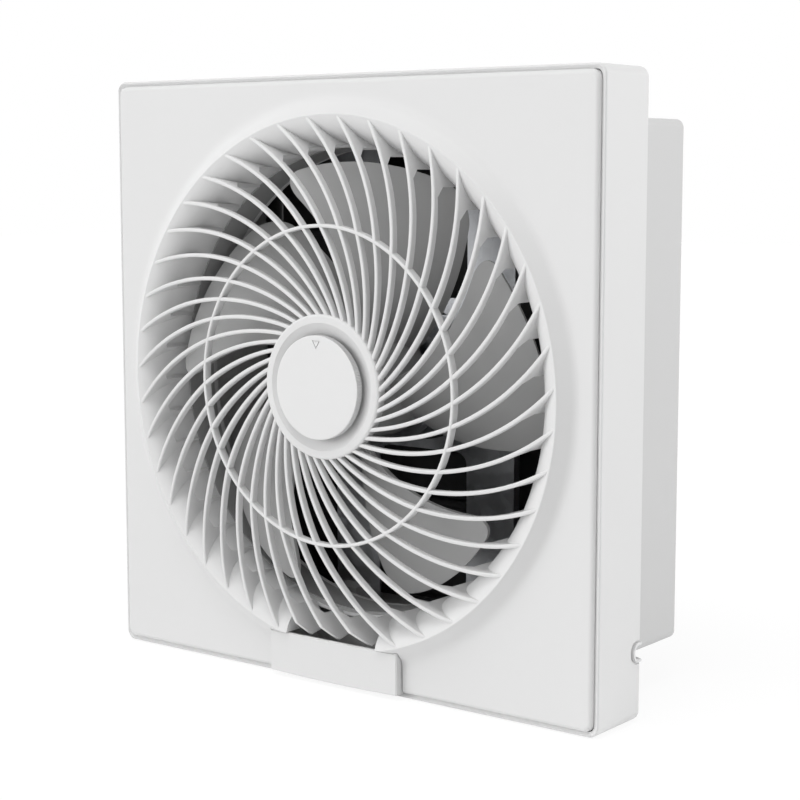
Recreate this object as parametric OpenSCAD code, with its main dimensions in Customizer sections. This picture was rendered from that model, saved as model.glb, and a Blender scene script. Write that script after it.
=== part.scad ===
// Window exhaust fan: a square room-side panel with a spiral grille, an axial fan in a round
// throat, and a square duct that ends in a gravity shutter on the outdoor side.
// The origin is on the fan's axis, in the rear face of the frame that bears on the window
// board. X is to the right seen from the room, Y points outdoors and Z is up.

/* [Frame] */
// Width and height of the frame
frame_w = 350; // [344:1:366]
// Depth of the frame in front of the window board
frame_depth = 43; // [42:0.5:50]
// Wall thickness of the frame
frame_wall = 2.5; // [2:0.1:3]
// Thickness of the floor of the frame
floor_t = 3; // [2.5:0.1:4]
// Radius of the frame's corners
frame_corner_r = 6; // [5:0.5:10]
// Radius of the frame's rear edges
frame_rear_r = 4; // [2:0.5:5]
// Width of the bevel inside the frame's front rim
rim_bevel = 2; // [1:0.1:2]
// Depth of the bevel inside the frame's front rim
rim_bevel_depth = 1.2; // [0.8:0.1:2]
// Side of the square posts that carry the panel's corners
post_w = 14; // [10:1:18]
// Distance of the fixing screws from the frame's sides
fix_inset = 14; // [13:0.5:15]
// Distance of the fixing screws from the frame's upper and lower sides
fix_drop = 55; // [53:1:70]
// Radius of the fixing holes
fix_hole_r = 2.5; // [2:0.1:3]

/* [Cord inlet] */
// Height of the inlet's centre above the frame's lower side
inlet_up = 38.8; // [33:0.2:41]
// Height of the inlet slot
inlet_h = 7.6; // [7:0.1:10]
// Depth of the inlet slot from the frame's rear face
inlet_depth = 7.3; // [6:0.1:9]
// How far the inlet's rim stands out of the frame's side
inlet_rim = 1.2; // [0.6:0.1:2]
// Width of the inlet's rim
inlet_rim_w = 1.7; // [1:0.1:2.5]
// Width of the cord clamp along the cord
clamp_w = 6; // [4:0.5:7]
// Radius of the cord's way through the clamp
clamp_r = 3.8; // [3:0.1:4]

/* [Duct] */
// Distance that the duct's sides are stepped in from the frame's
duct_step = 25; // [23:0.5:26]
// Length of the duct behind the frame
duct_length = 83; // [80:1:100]
// Wall thickness of the duct
duct_wall = 2.5; // [2:0.1:3]
// Radius of the duct's corners
duct_corner_r = 5; // [4:0.5:8]
// Radius of the duct's rear edges
duct_rear_r = 2.2; // [1:0.1:2.4]
// Width of the flange that turns in at the duct's front
duct_flange_w = 10; // [8:0.5:11]
// Height of the duct's fixing screws above and below the axis
duct_screw_z = 100; // [90:1:112]

/* [Front panel] */
// Gap between the panel's edge and the frame's wall
panel_gap = 0.5; // [0.4:0.1:0.6]
// How far the panel stands out of the frame
panel_proud = 2; // [1:0.1:4]
// Thickness of the panel
panel_t = 2.5; // [2:0.1:3]
// Radius of the panel's front edge
panel_edge_r = 1.3; // [1:0.1:2.8]
// Depth of the panel's visible side
panel_side = 3.6; // [3:0.1:5]
// Thickness of the skirt behind the panel
skirt_t = 2.2; // [1.5:0.1:2.5]
// Gap between the skirt and the frame's wall
skirt_gap = 0.9; // [0.6:0.1:1.2]
// Depth of the skirt behind the panel's front face
skirt_depth = 15; // [12:0.5:20]

/* [Inlet ring] */
// Distance from the crest of the raised lip to the frame's sides
lip_margin = 22.6; // [21:0.1:24]
// How far the lip stands out of the panel
lip_proud = 7; // [5:0.5:9]
// Width of the sloping flank outside the lip
flank_w = 7; // [5:0.5:8]
// Radial width of the bell mouth inside the lip's crest
bell_w = 17.4; // [15.4:0.1:18.4]
// Depth of the bell mouth behind the lip's crest
bell_depth = 27; // [24:0.5:28]
// Height of the bead along the lip's crest
bead_h = 2; // [1.2:0.1:2.5]
// Wall of the bell mouth
bell_wall = 2; // [1.6:0.1:2.4]

/* [Grille] */
// Number of spiral ribs
rib_count = 43; // [31:1:47]
// Thickness of a rib
rib_t = 2.3; // [1.8:0.1:2.6]
// Radius of a rib's curve
rib_curve_r = 138.4; // [130:0.1:160]
// Angle that a rib sweeps from the hub to the lip
rib_sweep = 53.8; // [45:0.5:56]
// Angle of the first rib's outer end, from the X axis
rib_phase = 87.7; // [80:0.1:95]
// Depth of a rib in the flat middle of the grille
rib_depth = 4; // [3:0.1:5]
// Radial width of the grille's fall towards the lip
dome_w = 58.4; // [52:0.1:60]
// Distance of the middle ring inside the start of the grille's fall
ring_inset = 2.4; // [2.1:0.1:14]
// Width of the middle ring
ring_w = 2; // [1.6:0.1:3]
// Depth of the middle ring
ring_depth = 4.8; // [4:0.1:6]
// Depth from the lip's crest to the ribs' rear edge beside the bell mouth
rib_end_depth = 6.8; // [6:0.1:8]

/* [Hub and knob] */
// Outside radius of the hub ring
hub_r = 41.2; // [39:0.1:44]
// Radial width of the hub ring's crest
hub_crest_w = 5.2; // [4:0.1:6]
// How far the hub ring's crest stands out of the panel
hub_proud = 13.7; // [12.5:0.1:15]
// Radial width of the cone that leads in from the crest to behind the knob
hub_cone_w = 8.7; // [8.4:0.1:9.2]
// Depth of that cone
hub_cone_depth = 4.3; // [3:0.1:5]
// Radius of the knob
knob_r = 29.5; // [28:0.1:30]
// How far the knob stands out of the hub ring
knob_proud = 3.9; // [2:0.1:5]
// Depth of the knob's rim behind its face
knob_depth = 4.7; // [4:0.1:5]
// Radius of the knob's stem
stem_r = 24; // [20:0.5:24.5]
// Thickness of the hub's floor
hub_floor_t = 2; // [1.5:0.1:2.5]
// Angle that the knob turns to unlock
knob_turn = 40; // [35:1:45]
// Angle of one locking lug
lug_angle = 30; // [20:1:32]

/* [Oil cup] */
// Width of the cup's front
cup_front_w = 95; // [80:1:110]
// Height of the cup's front
cup_front_h = 23.8; // [22:0.1:26]
// Height of the cup's front above the frame's lower side
cup_up = 2.8; // [1.8:0.1:3.6]
// How far the cup's front stands out of the panel
cup_proud = 5; // [3:0.1:7]
// Thickness of the cup's front
cup_front_t = 2; // [1.6:0.1:2.5]
// Wall of the cup
cup_wall = 1.6; // [1.2:0.1:2]
// How far the cup reaches behind its front
cup_length = 38; // [30:1:39]
// Depth of the trough below the cup's rim
cup_depth = 20; // [16:1:21]
// Width that the cup is narrower than its front on each side
cup_step = 2.5; // [2:0.1:4]
// Width of the window in the bell mouth through which oil drips into the cup
drip_w = 66; // [50:1:80]
// Height of the ribs' free ends above the cup's front
drip_gap = 0.6; // [0.5:0.1:1.5]

/* [Impeller] */
// Radial gap between the blade tips and the bell mouth
tip_gap = 9; // [8:0.5:13]
// Number of blades
blade_count = 5; // [3:1:6]
// Thickness of a blade
blade_t = 2.2; // [1.8:0.1:3]
// Angle that a blade covers round the axis at its root
blade_root_angle = 44; // [36:1:48]
// Angle that a blade covers round the axis at its tip
blade_tip_angle = 54; // [40:1:56]
// Angle of the first blade's leading edge at the root
blade_phase = 79; // [70:1:90]
// How far the leading edge sweeps forward from root to tip
blade_sweep = 34; // [20:1:36]
// Axial depth of the blades
blade_depth = 34; // [28:1:35]
// Distance of the leading edges in front of the frame's rear face
blade_front = 38; // [36:0.1:38.5]
// Length over which a blade's tip corners round off
blade_corner = 17; // [8:1:24]
// Radius of the impeller's hub
impeller_hub_r = 33; // [28:1:36]
// Wall of the impeller's hub
impeller_wall = 2.2; // [1.8:0.1:3]
// Radius of the spinner nut
spinner_r = 15; // [12:1:18]

/* [Motor] */
// Radius of the motor's shells
motor_r = 38.5; // [37.5:0.1:39.5]
// Wall of the motor's shells
shell_t = 1.5; // [1.2:0.1:1.7]
// Front of the motor's front shell behind the frame's rear face
motor_front = 5; // [4:0.5:6]
// Rear of the motor's rear shell behind the frame's rear face
motor_rear = 63; // [61:0.5:64]
// Radius of the shaft
shaft_r = 4; // [3.5:0.1:4.5]
// Radius of the bearings
bearing_r = 7.5; // [7:0.1:8.5]
// Length of the stator's core
stator_length = 24; // [20:1:26]
// Radial width of the stator's core
stator_w = 16.4; // [16.2:0.1:18]
// Air gap between rotor and stator
air_gap = 0.4; // [0.3:0.1:0.6]
// Number of slots in the stator
slot_count = 12; // [8:1:12]
// Distance of the motor bracket behind the frame's rear face
bracket_y = 37; // [36:0.5:38]
// Thickness of the motor bracket
bracket_t = 1.6; // [1.2:0.1:2]
// Distance of a strut's inner edge from the axis
strut_in = 33; // [30:1:34]
// Width of a strut
strut_w = 34; // [30:1:36]
// Half height of the bracket's cross plate
cross_h = 46; // [44:1:50]
// Radius of the inside corners of the bracket
bracket_fillet = 8; // [4:1:10]

/* [Shutter] */
// Thickness of a flap
flap_t = 1.6; // [1.2:0.1:1.8]
// Radius of a flap's hinge barrel
barrel_r = 2.8; // [2.5:0.1:3]
// Radius of a flap's hinge pins
flap_pin_r = 2; // [1.6:0.1:2.2]
// Distance of the hinge pins in front of the duct's rear end
flap_inset = 9; // [8:0.5:12]
// Distance of the first hinge pin below the duct's inner wall
flap_drop = 9.5; // [9:0.1:10]
// Height of the last flap's share above the duct's inner wall
flap_foot = 5.5; // [5:0.1:7]
// Wall of the shutter's frame
shutter_wall = 2.2; // [1.8:0.1:2.4]
// Depth of the shutter's frame
shutter_depth = 20.5; // [18:0.5:21]
// Distance of the flaps' ears inside the shutter's frame
link_inset = 25; // [21:1:55]

/* [Wiring] */
// Width of the terminal box
terminal_w = 40; // [36:1:44]
// Height of the terminal box
terminal_h = 42; // [38:1:44]
// Depth of the terminal box
terminal_depth = 17; // [14:1:20]
// Wall of the terminal box
terminal_wall = 1.5; // [1.2:0.1:2]
// Distance of the terminal box from the frame's right side
terminal_inset = 23; // [20:1:26]
// Height of the terminal box above the frame's lower side
terminal_up = 13; // [10:1:14]
// Radius of the motor's lead
lead_r = 3; // [2:0.1:3]

/* [Hidden] */
$fn = 96;

// Clearances
seat = 0.3;        // between pieces that rest on each other over a curved or loose seat
run = 0.05;        // radial, for a shaft in its bore
loose = 0.1;       // radial, for a screw in its hole
over = 1;          // how far a cut runs past what it cuts

// Shank radii of the screws
duct_screw_r = 1.75;
throat_shank_r = 1.5;
shutter_screw_r = 1.25;
clamp_screw_r = 1.2;

// Frame
frame_half = frame_w / 2;
inner_half = frame_half - frame_wall;
frame_front = -frame_depth;
floor_y = -floor_t;
fix_x = frame_half - fix_inset;
fix_z = frame_half - fix_drop;
inlet_z = inlet_up - frame_half;

// Panel and inlet
panel_half = inner_half - panel_gap;
panel_front = frame_front - panel_proud;
panel_rear = panel_front + panel_t;
skirt_half = inner_half - skirt_gap;
skirt_rear = panel_front + skirt_depth;
post_y = skirt_rear + seat;
lip_r = frame_half - lip_margin;
bell_r = lip_r - bell_w;
tip_r = bell_r - tip_gap;
lip_y = panel_front - lip_proud;
lip_round = 1;
flank_r = lip_r + flank_w;
bell_y = lip_y + bell_depth;
bell_rise = bell_depth - bead_h;
bell_steps = 8;
throat_r = bell_r - 0.5;
throat_wall = 2.2;
throat_front = bell_y + seat;
throat_flange_t = 2;
throat_flange_r = throat_r + 11.5;
throat_screw_r = throat_r + 7;
throat_screw_phase = 57;

// Grille
rib_half = rib_t / 2;
dome_r = lip_r - dome_w;
ring_r = dome_r - ring_inset;
hub_y = panel_front - hub_proud;
rib_front = hub_y + 0.7;
dome_fall_r = lip_r - 13;
vane_r = bell_r - 0.4;
vane_front = lip_y + rib_end_depth;
rib_inner_r = hub_r - 1.5;
rib_outer_r = lip_r - 0.1;
// The rib's curve is a circle through the hub ring and the lip, a sweep apart.
rib_in = [rib_inner_r * cos(-rib_sweep), rib_inner_r * sin(-rib_sweep)];
rib_out = [rib_outer_r, 0];
rib_mid = (rib_in + rib_out) / 2;
rib_chord = norm(rib_out - rib_in);
rib_rise = sqrt(rib_curve_r * rib_curve_r - rib_chord * rib_chord / 4);
rib_centre = rib_mid + rib_rise / rib_chord * [-(rib_out - rib_in)[1], (rib_out - rib_in)[0]];

// Hub and knob
hub_in_r = hub_r - hub_crest_w;
hub_cone_r = hub_in_r - hub_cone_w;
hub_cone_y = hub_y + hub_cone_depth;
hub_wall = 2;
hub_back = hub_y + 6.2;
knob_front = hub_y - knob_proud;
knob_rear = knob_front + knob_depth;
hub_sink = 6.8;
hub_floor_y = hub_y + hub_sink;
hub_floor_rear = hub_floor_y + hub_floor_t;
stem_hole_r = stem_r + run;
stem_wall = 2;
lug_reach = hub_cone_r - stem_r - seat;
lug_y = hub_floor_rear + seat;
lug_t = 1.5;
knob_skin = 2;

// Oil cup
cup_half = cup_front_w / 2;
cup_bottom = cup_up - frame_half;
cup_top = cup_bottom + cup_front_h;
cup_gap = 0.4;
cup_front_y = panel_front - cup_proud;
cup_front_rear = cup_front_y + cup_front_t;
cup_side_rear = panel_rear;
cup_side_t = 2;
cup_body_half = cup_half - cup_step;
cup_floor_z = -inner_half + seat;
cup_rim_z = cup_floor_z + cup_depth;
cup_rear_y = cup_front_rear + cup_length;
cup_rail_w = 2;
cup_rail_h = 9;
cup_cut_top = cup_top + cup_gap;
drip_half = drip_w / 2;
drip_z = cup_top + drip_gap;
drip_slope = 6.2;
drip_front = lip_y + 0.4;
drip_rear = bell_y - 5;

// Impeller and motor
hub_margin = 1.8;
hub_front = -blade_front - hub_margin;
hub_rear = blade_depth - blade_front + hub_margin;
hub_face = hub_front + 3;
blade_rows = 6;
blade_cols = 12;
boss_r = 9;
insert_r = 6.5;
insert_front = hub_face + impeller_wall;
insert_rear = -10;
pin_r = 1.25;
pin_half = boss_r - 0.4;
pin_play = 0.15;
pin_y = insert_rear + 2;
boss_rear = pin_y + 2.5;
spinner_h = 10;
spinner_nose = 2.5;
spinner_shoulder = 6;
spinner_front = hub_face - spinner_h;
thread_r = shaft_r - 1;
shaft_front = spinner_front + 1.2;
shaft_rear = motor_rear - 2.5;
bore_r = shaft_r + run;
housing_wall = 2.2;
housing_r = bearing_r + housing_wall;
nose_y = motor_front - 5;
bearing_length = 11;
front_bearing_y = nose_y + 2;
rear_bearing_y = motor_rear - 2 - bearing_length;
stator_r = motor_r - shell_t - 0.2;
rotor_r = stator_r - stator_w - air_gap;
stator_mid = bracket_y - 3;
stator_front = stator_mid - stator_length / 2;
stator_rear = stator_mid + stator_length / 2;
slot_r = 3;
slot_ring_r = rotor_r + air_gap + slot_r + 2.4;
slot_mouth = 1.6;
wire_r = slot_r - seat;
end_turn_depth = 6;
end_turn_r = 3.6;
washer_t = 0.8;
bolt_ring_r = stator_r - 3.8;
bolt_r = 1.9;
vent_r = 3;
vent_inset = 14;
vent_ring_r = motor_r - vent_inset;
motor_flange_t = 2;
damper_t = 3;
motor_flange_y = bracket_y - damper_t - motor_flange_t;
ear_x = strut_in + strut_w / 2;
ear_z = 28;
ear_r = 8;
damper_r = 6;
damper_screw_r = 2;
damper_head_r = 4;
damper_screw_out = 4;
damper_hole_r = damper_screw_r + loose;
motor_hole_r = motor_r + 1.8;
strut_out = strut_in + strut_w;
strut_mid = ear_x;

// Duct and shutter
duct_half = frame_half - duct_step;
duct_w = 2 * duct_half;
duct_in = duct_half - duct_wall;
duct_window = duct_in - duct_flange_w;
duct_flange_t = 2.5;
duct_screw_x = duct_in - duct_flange_w / 2;
bracket_boss_h = 12;
bracket_boss_w = 20;
bracket_boss_y = 22;
bracket_screw_z = duct_in - bracket_boss_h / 2;
bracket_screw_l = 12;
shutter_half = duct_in - seat;
shutter_in = shutter_half - shutter_wall;
shutter_rear = duct_length - 0.4;
shutter_front = shutter_rear - shutter_depth;
corner_boss_w = 11;
corner_boss_half = corner_boss_w / 2 + over;
corner_boss_depth = 16;
lug_w = 11;
lug_half = lug_w / 2 + over;
shutter_lug_t = 3;
shutter_screw = shutter_in - lug_w / 2;
shutter_screw_l = 11;
flap_count = 5;
pin_depth = duct_length - flap_inset;
first_pin_z = duct_in - flap_drop;
flap_pitch = (2 * duct_in - flap_drop - flap_foot) / flap_count;
link_x = shutter_in - link_inset;
flap_half = shutter_in - 1.2;
flap_pin_end = shutter_half - seat;
flap_skin = 1.2;
flap_lip_out = flap_skin + 2;
flap_lip_z = flap_pitch + 1.5;
flap_bend_z = flap_pitch - barrel_r - flap_t - seat;
ear_y = -10;
ear_up = 3.2;
flap_ear_r = 3;
link_pin_r = 1.5;
flap_ear_t = 2;
link_t = 2;
link_w = 4;

// Wiring
terminal_right = frame_half - terminal_inset;
terminal_x = terminal_right - terminal_w;
terminal_z = terminal_up - frame_half;
terminal_top = terminal_z + terminal_h;
lid_screw_x = terminal_right - 7;
lid_screw_z = terminal_z + 7;
terminal_front = floor_y - terminal_depth;
lid_t = 1.5;
clamp_x = terminal_right + 1;
clamp_half_h = 8;
clamp_y = floor_y - clamp_r - 1;
clamp_depth = 2 * clamp_r + 3.4;
lead_inset = 16;
lead_x = terminal_x + lead_inset;
lead_z = terminal_top - 7;
lead_hole_r = 5;
lead_lane_y = bracket_y + bracket_t + lead_r + 0.4;
lead_low_z = -(duct_in - lead_r - seat);
lead_up_x = strut_mid + 7;
lead_end = 0.71 * (stator_r + 1);
lead_knee_out = 15;
lead_knee = lead_end + lead_knee_out;
lead_clip_up = 32.2;
lead_clip_down = 17;
lead_clip_z = [lead_low_z + lead_clip_up, -lead_up_x - lead_clip_down];
// The lead runs from the terminal box through the floor, along the bottom of the duct and up
// the rear of a strut into the side of the motor.
lead_corners = [
    [lead_x, floor_y - 5, lead_z],
    [lead_x, 8, lead_z],
    [lead_x, 28, lead_low_z],
    [lead_x - 8, lead_lane_y, lead_low_z],
    [lead_up_x, lead_lane_y, lead_low_z],
    [lead_up_x, lead_lane_y, -lead_up_x],
    [lead_knee, lead_lane_y, -lead_knee],
    [lead_end, lead_lane_y, -lead_end]
];
lead_bend = 5;
lead_sides = 10;

// Colours
shell_white = [0.93, 0.93, 0.92];
inner_white = [0.88, 0.88, 0.87];
blade_grey = [0.72, 0.73, 0.74];
steel = [0.72, 0.73, 0.75];
dark_steel = [0.42, 0.43, 0.45];
flap_grey = [0.22, 0.22, 0.23];
copper = [0.72, 0.38, 0.2];
brass = [0.78, 0.62, 0.3];
rubber_black = [0.09, 0.09, 0.1];

// ---------------------------------------------------------------- helpers

// Extrudes a shape drawn in X and Z along Y from y0 to y1.
module along_y(y0, y1) {
    rotate([90, 0, 0]) translate([0, 0, -y1]) linear_extrude(y1 - y0) children();
}

// Extrudes a shape drawn in Y and Z along X, a length centred on X = 0.
module along_x(length) {
    rotate([90, 0, 90]) linear_extrude(length, center = true) children();
}

// Turns a profile of radius and Y about the Y axis.
module around_y(fn = 180) {
    rotate([90, 0, 0]) rotate_extrude($fn = fn) mirror([0, 1, 0]) children();
}

// A cylinder along Y.
module rod_y(r, y0, y1, fn = 64) {
    translate([0, y0, 0]) rotate([-90, 0, 0]) cylinder(r = r, h = y1 - y0, $fn = fn);
}

// A cylinder along X.
module rod_x(r, x0, x1, fn = 48) {
    translate([x0, 0, 0]) rotate([0, 90, 0]) cylinder(r = r, h = x1 - x0, $fn = fn);
}

// A tube along Y.
module tube_y(r_out, r_in, y0, y1, fn = 96) {
    difference() {
        rod_y(r_out, y0, y1, fn);
        rod_y(r_in, y0 - over, y1 + over, fn);
    }
}

// A box given by its lowest and highest corners.
module block(low, high) {
    translate(low) cube(high - low);
}

// A rectangle about the origin with true round corners.
module round_rect(w, h, r) {
    square([w - 2 * r, h], center = true);
    square([w, h - 2 * r], center = true);
    for (x = [-1, 1], z = [-1, 1])
        translate([x * (w / 2 - r), z * (h / 2 - r)]) circle(r, $fn = 48);
}

// A square slab between y0 and y1 with round corners, and round front or rear edges.
module slab(w, y0, y1, corner_r, front_r = 0, rear_r = 0) {
    deep = 4 * w;
    intersection() {
        along_y(y0, y1) round_rect(w, w, corner_r);
        if (front_r > 0) {
            translate([0, y0 + deep / 2, 0]) linear_extrude(w + 2, center = true)
                round_rect(w, deep, front_r);
            translate([0, y0 + deep / 2, 0]) rotate([0, 90, 0]) linear_extrude(w + 2, center = true)
                round_rect(w, deep, front_r);
        }
        if (rear_r > 0) {
            translate([0, y1 - deep / 2, 0]) linear_extrude(w + 2, center = true)
                round_rect(w, deep, rear_r);
            translate([0, y1 - deep / 2, 0]) rotate([0, 90, 0]) linear_extrude(w + 2, center = true)
                round_rect(w, deep, rear_r);
        }
    }
}

// Copies about the Y axis.
module ring_of(n, phase = 0) {
    for (i = [0 : n - 1]) rotate([0, -(phase + i * 360 / n), 0]) children();
}

// Copies at the four corners of a rectangle.
module at_corners(x, z) {
    for (sx = [-1, 1], sz = [-1, 1]) translate([sx * x, 0, sz * z]) children();
}

// A pan head screw along +Y, with the head's seat at Y = 0.
module screw(shank_r, length, head_r, head_h = 2) {
    slot_w = 0.9;
    difference() {
        rod_y(head_r, -head_h, 0, 32);
        for (turn = [0, 90]) rotate([0, turn, 0])
            block([-0.7 * head_r, -head_h - over, -slot_w / 2], [0.7 * head_r, -head_h + 1, slot_w / 2]);
    }
    rod_y(shank_r, -0.5, length, 32);
}

// ---------------------------------------------------------------- frame and duct

// The round-ended slot for the cord, open to the rear, or its outline moved out by grow.
module inlet_slot(grow) {
    r = inlet_h / 2 + grow;
    reach = inlet_depth + grow - r;
    translate([0, 0, inlet_z]) {
        block([clamp_x + clamp_w + 1, -reach, -r], [frame_half + inlet_rim + over, over, r]);
        translate([0, -reach, 0]) rod_x(r, clamp_x + clamp_w + 1, frame_half + inlet_rim + over);
    }
}

module body_frame() {
    color(shell_white) difference() {
        union() {
            difference() {
                slab(frame_w, frame_front, 0, frame_corner_r, 0, frame_rear_r);
                slab(2 * inner_half, frame_front - over, floor_y, frame_corner_r - frame_wall);
                for (turn = [0 : 90 : 270]) rotate([0, turn, 0]) rim_bevel_cut();
            }
            intersection() {
                at_corners(inner_half - post_w / 2, inner_half - post_w / 2)
                    block([-post_w / 2, post_y, -post_w / 2], [post_w / 2, floor_y + over, post_w / 2]);
                slab(2 * inner_half + 1, frame_front, 0, frame_corner_r);
            }
            for (side = [-1, 1]) translate([side * (cup_body_half + cup_gap + cup_rail_w / 2), 0, 0])
                block([-cup_rail_w / 2, frame_front + rim_bevel_depth + 1, -inner_half - over],
                      [cup_rail_w / 2, floor_y + over, -inner_half + cup_rail_h]);
            inlet_boss();
        }
        rod_y(throat_r, floor_y - over, over, 180);
        at_corners(fix_x, fix_z) rod_y(fix_hole_r, floor_y - over, over, 32);
        at_corners(duct_screw_x, duct_screw_z) rod_y(duct_screw_r + loose, floor_y - over, over, 32);
        ring_of(4, throat_screw_phase) translate([throat_screw_r, 0, 0])
            rod_y(throat_shank_r + loose, floor_y - over, over, 32);
        inlet_slot(0);
        translate([lead_x, 0, lead_z]) rod_y(lead_hole_r, floor_y - over, over, 48);
        at_clamp_screws() rod_y(clamp_screw_r + loose, floor_y - over, over, 32);
    }
}

// The bevel that opens the frame's front rim towards the panel, cut on the +X side.
module rim_bevel_cut() {
    linear_extrude(2 * inner_half, center = true) polygon([
        [inner_half - over, frame_front - over],
        [inner_half + rim_bevel, frame_front - over],
        [inner_half + rim_bevel, frame_front],
        [inner_half, frame_front + rim_bevel_depth],
        [inner_half - over, frame_front + rim_bevel_depth]
    ]);
}

// The raised rim round the inlet slot, on the frame's side.
module inlet_boss() {
    intersection() {
        inlet_slot(inlet_rim_w);
        block([inner_half, -inlet_depth - inlet_rim_w - over, inlet_z - inlet_h],
              [frame_half + inlet_rim, -0.6, inlet_z + inlet_h]);
    }
}

module throat_ring() {
    color(inner_white) difference() {
        around_y() polygon([
            [throat_r, throat_front],
            [throat_r + throat_wall, throat_front],
            [throat_r + throat_wall, floor_y - throat_flange_t],
            [throat_flange_r, floor_y - throat_flange_t],
            [throat_flange_r, floor_y],
            [throat_r, floor_y]
        ]);
        ring_of(4, throat_screw_phase) translate([throat_screw_r, 0, 0])
            rod_y(throat_shank_r + loose, floor_y - throat_flange_t - over, over, 32);
    }
}

module throat_screws() {
    color(steel) ring_of(4, throat_screw_phase)
        translate([throat_screw_r, floor_y - throat_flange_t, 0])
            screw(throat_shank_r, throat_flange_t + floor_t - 0.4, 3.2);
}

module rear_duct() {
    color(shell_white) difference() {
        union() {
            difference() {
                slab(duct_w, 0, duct_length, duct_corner_r, 0, duct_rear_r);
                slab(2 * duct_in, duct_flange_t, duct_length + over, duct_corner_r - duct_wall);
                along_y(-over, duct_flange_t + over) round_rect(2 * duct_window, 2 * duct_window, 4);
            }
            for (side = [-1, 1], end = [-1, 1]) translate([side * strut_mid, 0, end * bracket_screw_z])
                block([-bracket_boss_w / 2, bracket_boss_y, -bracket_boss_h / 2 - (end < 0 ? over : 0)],
                      [bracket_boss_w / 2, bracket_y, bracket_boss_h / 2 + (end > 0 ? over : 0)]);
            intersection() {
                at_corners(duct_in - corner_boss_w / 2, duct_in - corner_boss_w / 2)
                    block([-corner_boss_half, shutter_front - corner_boss_depth, -corner_boss_half],
                          [corner_boss_half, shutter_front, corner_boss_half]);
                slab(duct_w - duct_wall, 0, duct_length, duct_corner_r - duct_wall / 2);
            }
        }
        at_corners(duct_screw_x, duct_screw_z)
            rod_y(duct_screw_r + loose, -over, duct_flange_t + over, 32);
        at_corners(strut_mid, bracket_screw_z)
            rod_y(duct_screw_r + loose, bracket_y - bracket_screw_l - over, bracket_y + over, 32);
        at_corners(shutter_screw, shutter_screw)
            rod_y(shutter_screw_r + loose, shutter_front - shutter_screw_l, shutter_front + over, 32);
    }
}

module duct_screws() {
    color(steel) at_corners(duct_screw_x, duct_screw_z) translate([0, floor_y, 0])
        screw(duct_screw_r, floor_t + duct_flange_t + 1, 3.6);
}

// ---------------------------------------------------------------- front panel

// Points of a quarter ellipse from the bell mouth's rear edge to the bead, moved out by grow.
function bell_curve(grow, steps = bell_steps) = [
    for (i = [0 : steps]) let (t = 90 * i / steps) [
        lip_r - 0.9 - (lip_r - 0.9 - bell_r - grow) * cos(t),
        bell_y - (bell_rise - grow) * sin(t)
    ]
];

function reversed(list) = [for (i = [len(list) - 1 : -1 : 0]) list[i]];

module bell_profile() {
    polygon(concat(
        bell_curve(0),
        [
            [lip_r - 0.9, lip_y + lip_round],
            [lip_r - 0.4, lip_y + lip_round / 4],
            [lip_r + 0.3, lip_y],
            [lip_r + lip_round, lip_y],
            [lip_r + lip_round + 0.9, lip_y + 0.6],
            [flank_r, panel_front + 0.02],
            [flank_r, panel_rear],
            [lip_r + 1, panel_rear]
        ],
        reversed(bell_curve(bell_wall))
    ));
}

// Half section of the space that the ribs fill, shallow in the middle and deep near the wall.
module rib_profile() {
    polygon([
        [rib_inner_r, rib_front],
        [dome_r, rib_front + 0.5],
        [(dome_r + dome_fall_r) / 2, (rib_front + lip_y) / 2 - 0.1],
        [dome_fall_r, lip_y - 0.5],
        [lip_r - 0.6, lip_y + 0.4],
        each reversed(bell_curve(bell_wall / 2)),
        [vane_r, bell_y],
        [vane_r, vane_front],
        [vane_r - 4.3, vane_front - 5.5],
        [vane_r - 16.6, vane_front - 5.8],
        [dome_r + 8, rib_front + rib_depth + 1.7],
        [dome_r - 6, rib_front + rib_depth + 0.5],
        [rib_inner_r, rib_front + rib_depth]
    ]);
}

// The plan of one rib: an arc of a circle, kept on the one side of the line to its centre.
module rib_plan() {
    side = atan2(rib_centre[1], rib_centre[0]);
    intersection() {
        translate(rib_centre) difference() {
            circle(rib_curve_r + rib_half, $fn = 360);
            circle(rib_curve_r - rib_half, $fn = 360);
        }
        rotate(side) translate([-2 * lip_r, -2 * lip_r]) square([4 * lip_r, 2 * lip_r]);
    }
}

// Space above the oil cup in which the bell mouth is cut away.
module drip_window() {
    block([-drip_half, lip_y - over, -frame_half - over], [drip_half, drip_rear, -throat_r / 2]);
}

module rib_ring() {
    ring_of(rib_count, rib_phase) along_y(rib_front - over, bell_y + over) rib_plan();
}

module ribs() {
    difference() {
        intersection() {
            rib_ring();
            around_y() rib_profile();
        }
        block([-drip_half, rib_front - over, -frame_half], [drip_half, drip_rear, drip_z + drip_slope]);
    }
    // The free ends over the cup, sloped in front and level below.
    intersection() {
        rib_ring();
        along_x(2 * drip_half) polygon(concat(drip_edge, [
            [drip_rear, 1 - vane_r],
            [vane_front + 2, 1 - vane_r]
        ]));
    }
}

// Depth and height along the lower edge of the ribs' free ends and of the window's side walls.
drip_edge = [[drip_front, drip_z + drip_slope], [drip_front + drip_slope, drip_z], [drip_rear, drip_z]];

// The two side walls of the drip window, from the bell mouth down towards the cup.
module drip_walls() {
    for (side = [-1, 1]) translate([side * (drip_half + bell_wall / 2), 0, 0])
        along_x(bell_wall) polygon(concat(drip_edge, [
            for (p = bell_curve(bell_wall / 2)) if (p[0] < lip_r - 6 && p[1] < drip_rear)
                [p[1], -sqrt(p[0] * p[0] - drip_half * drip_half)]
        ]));
}

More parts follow.
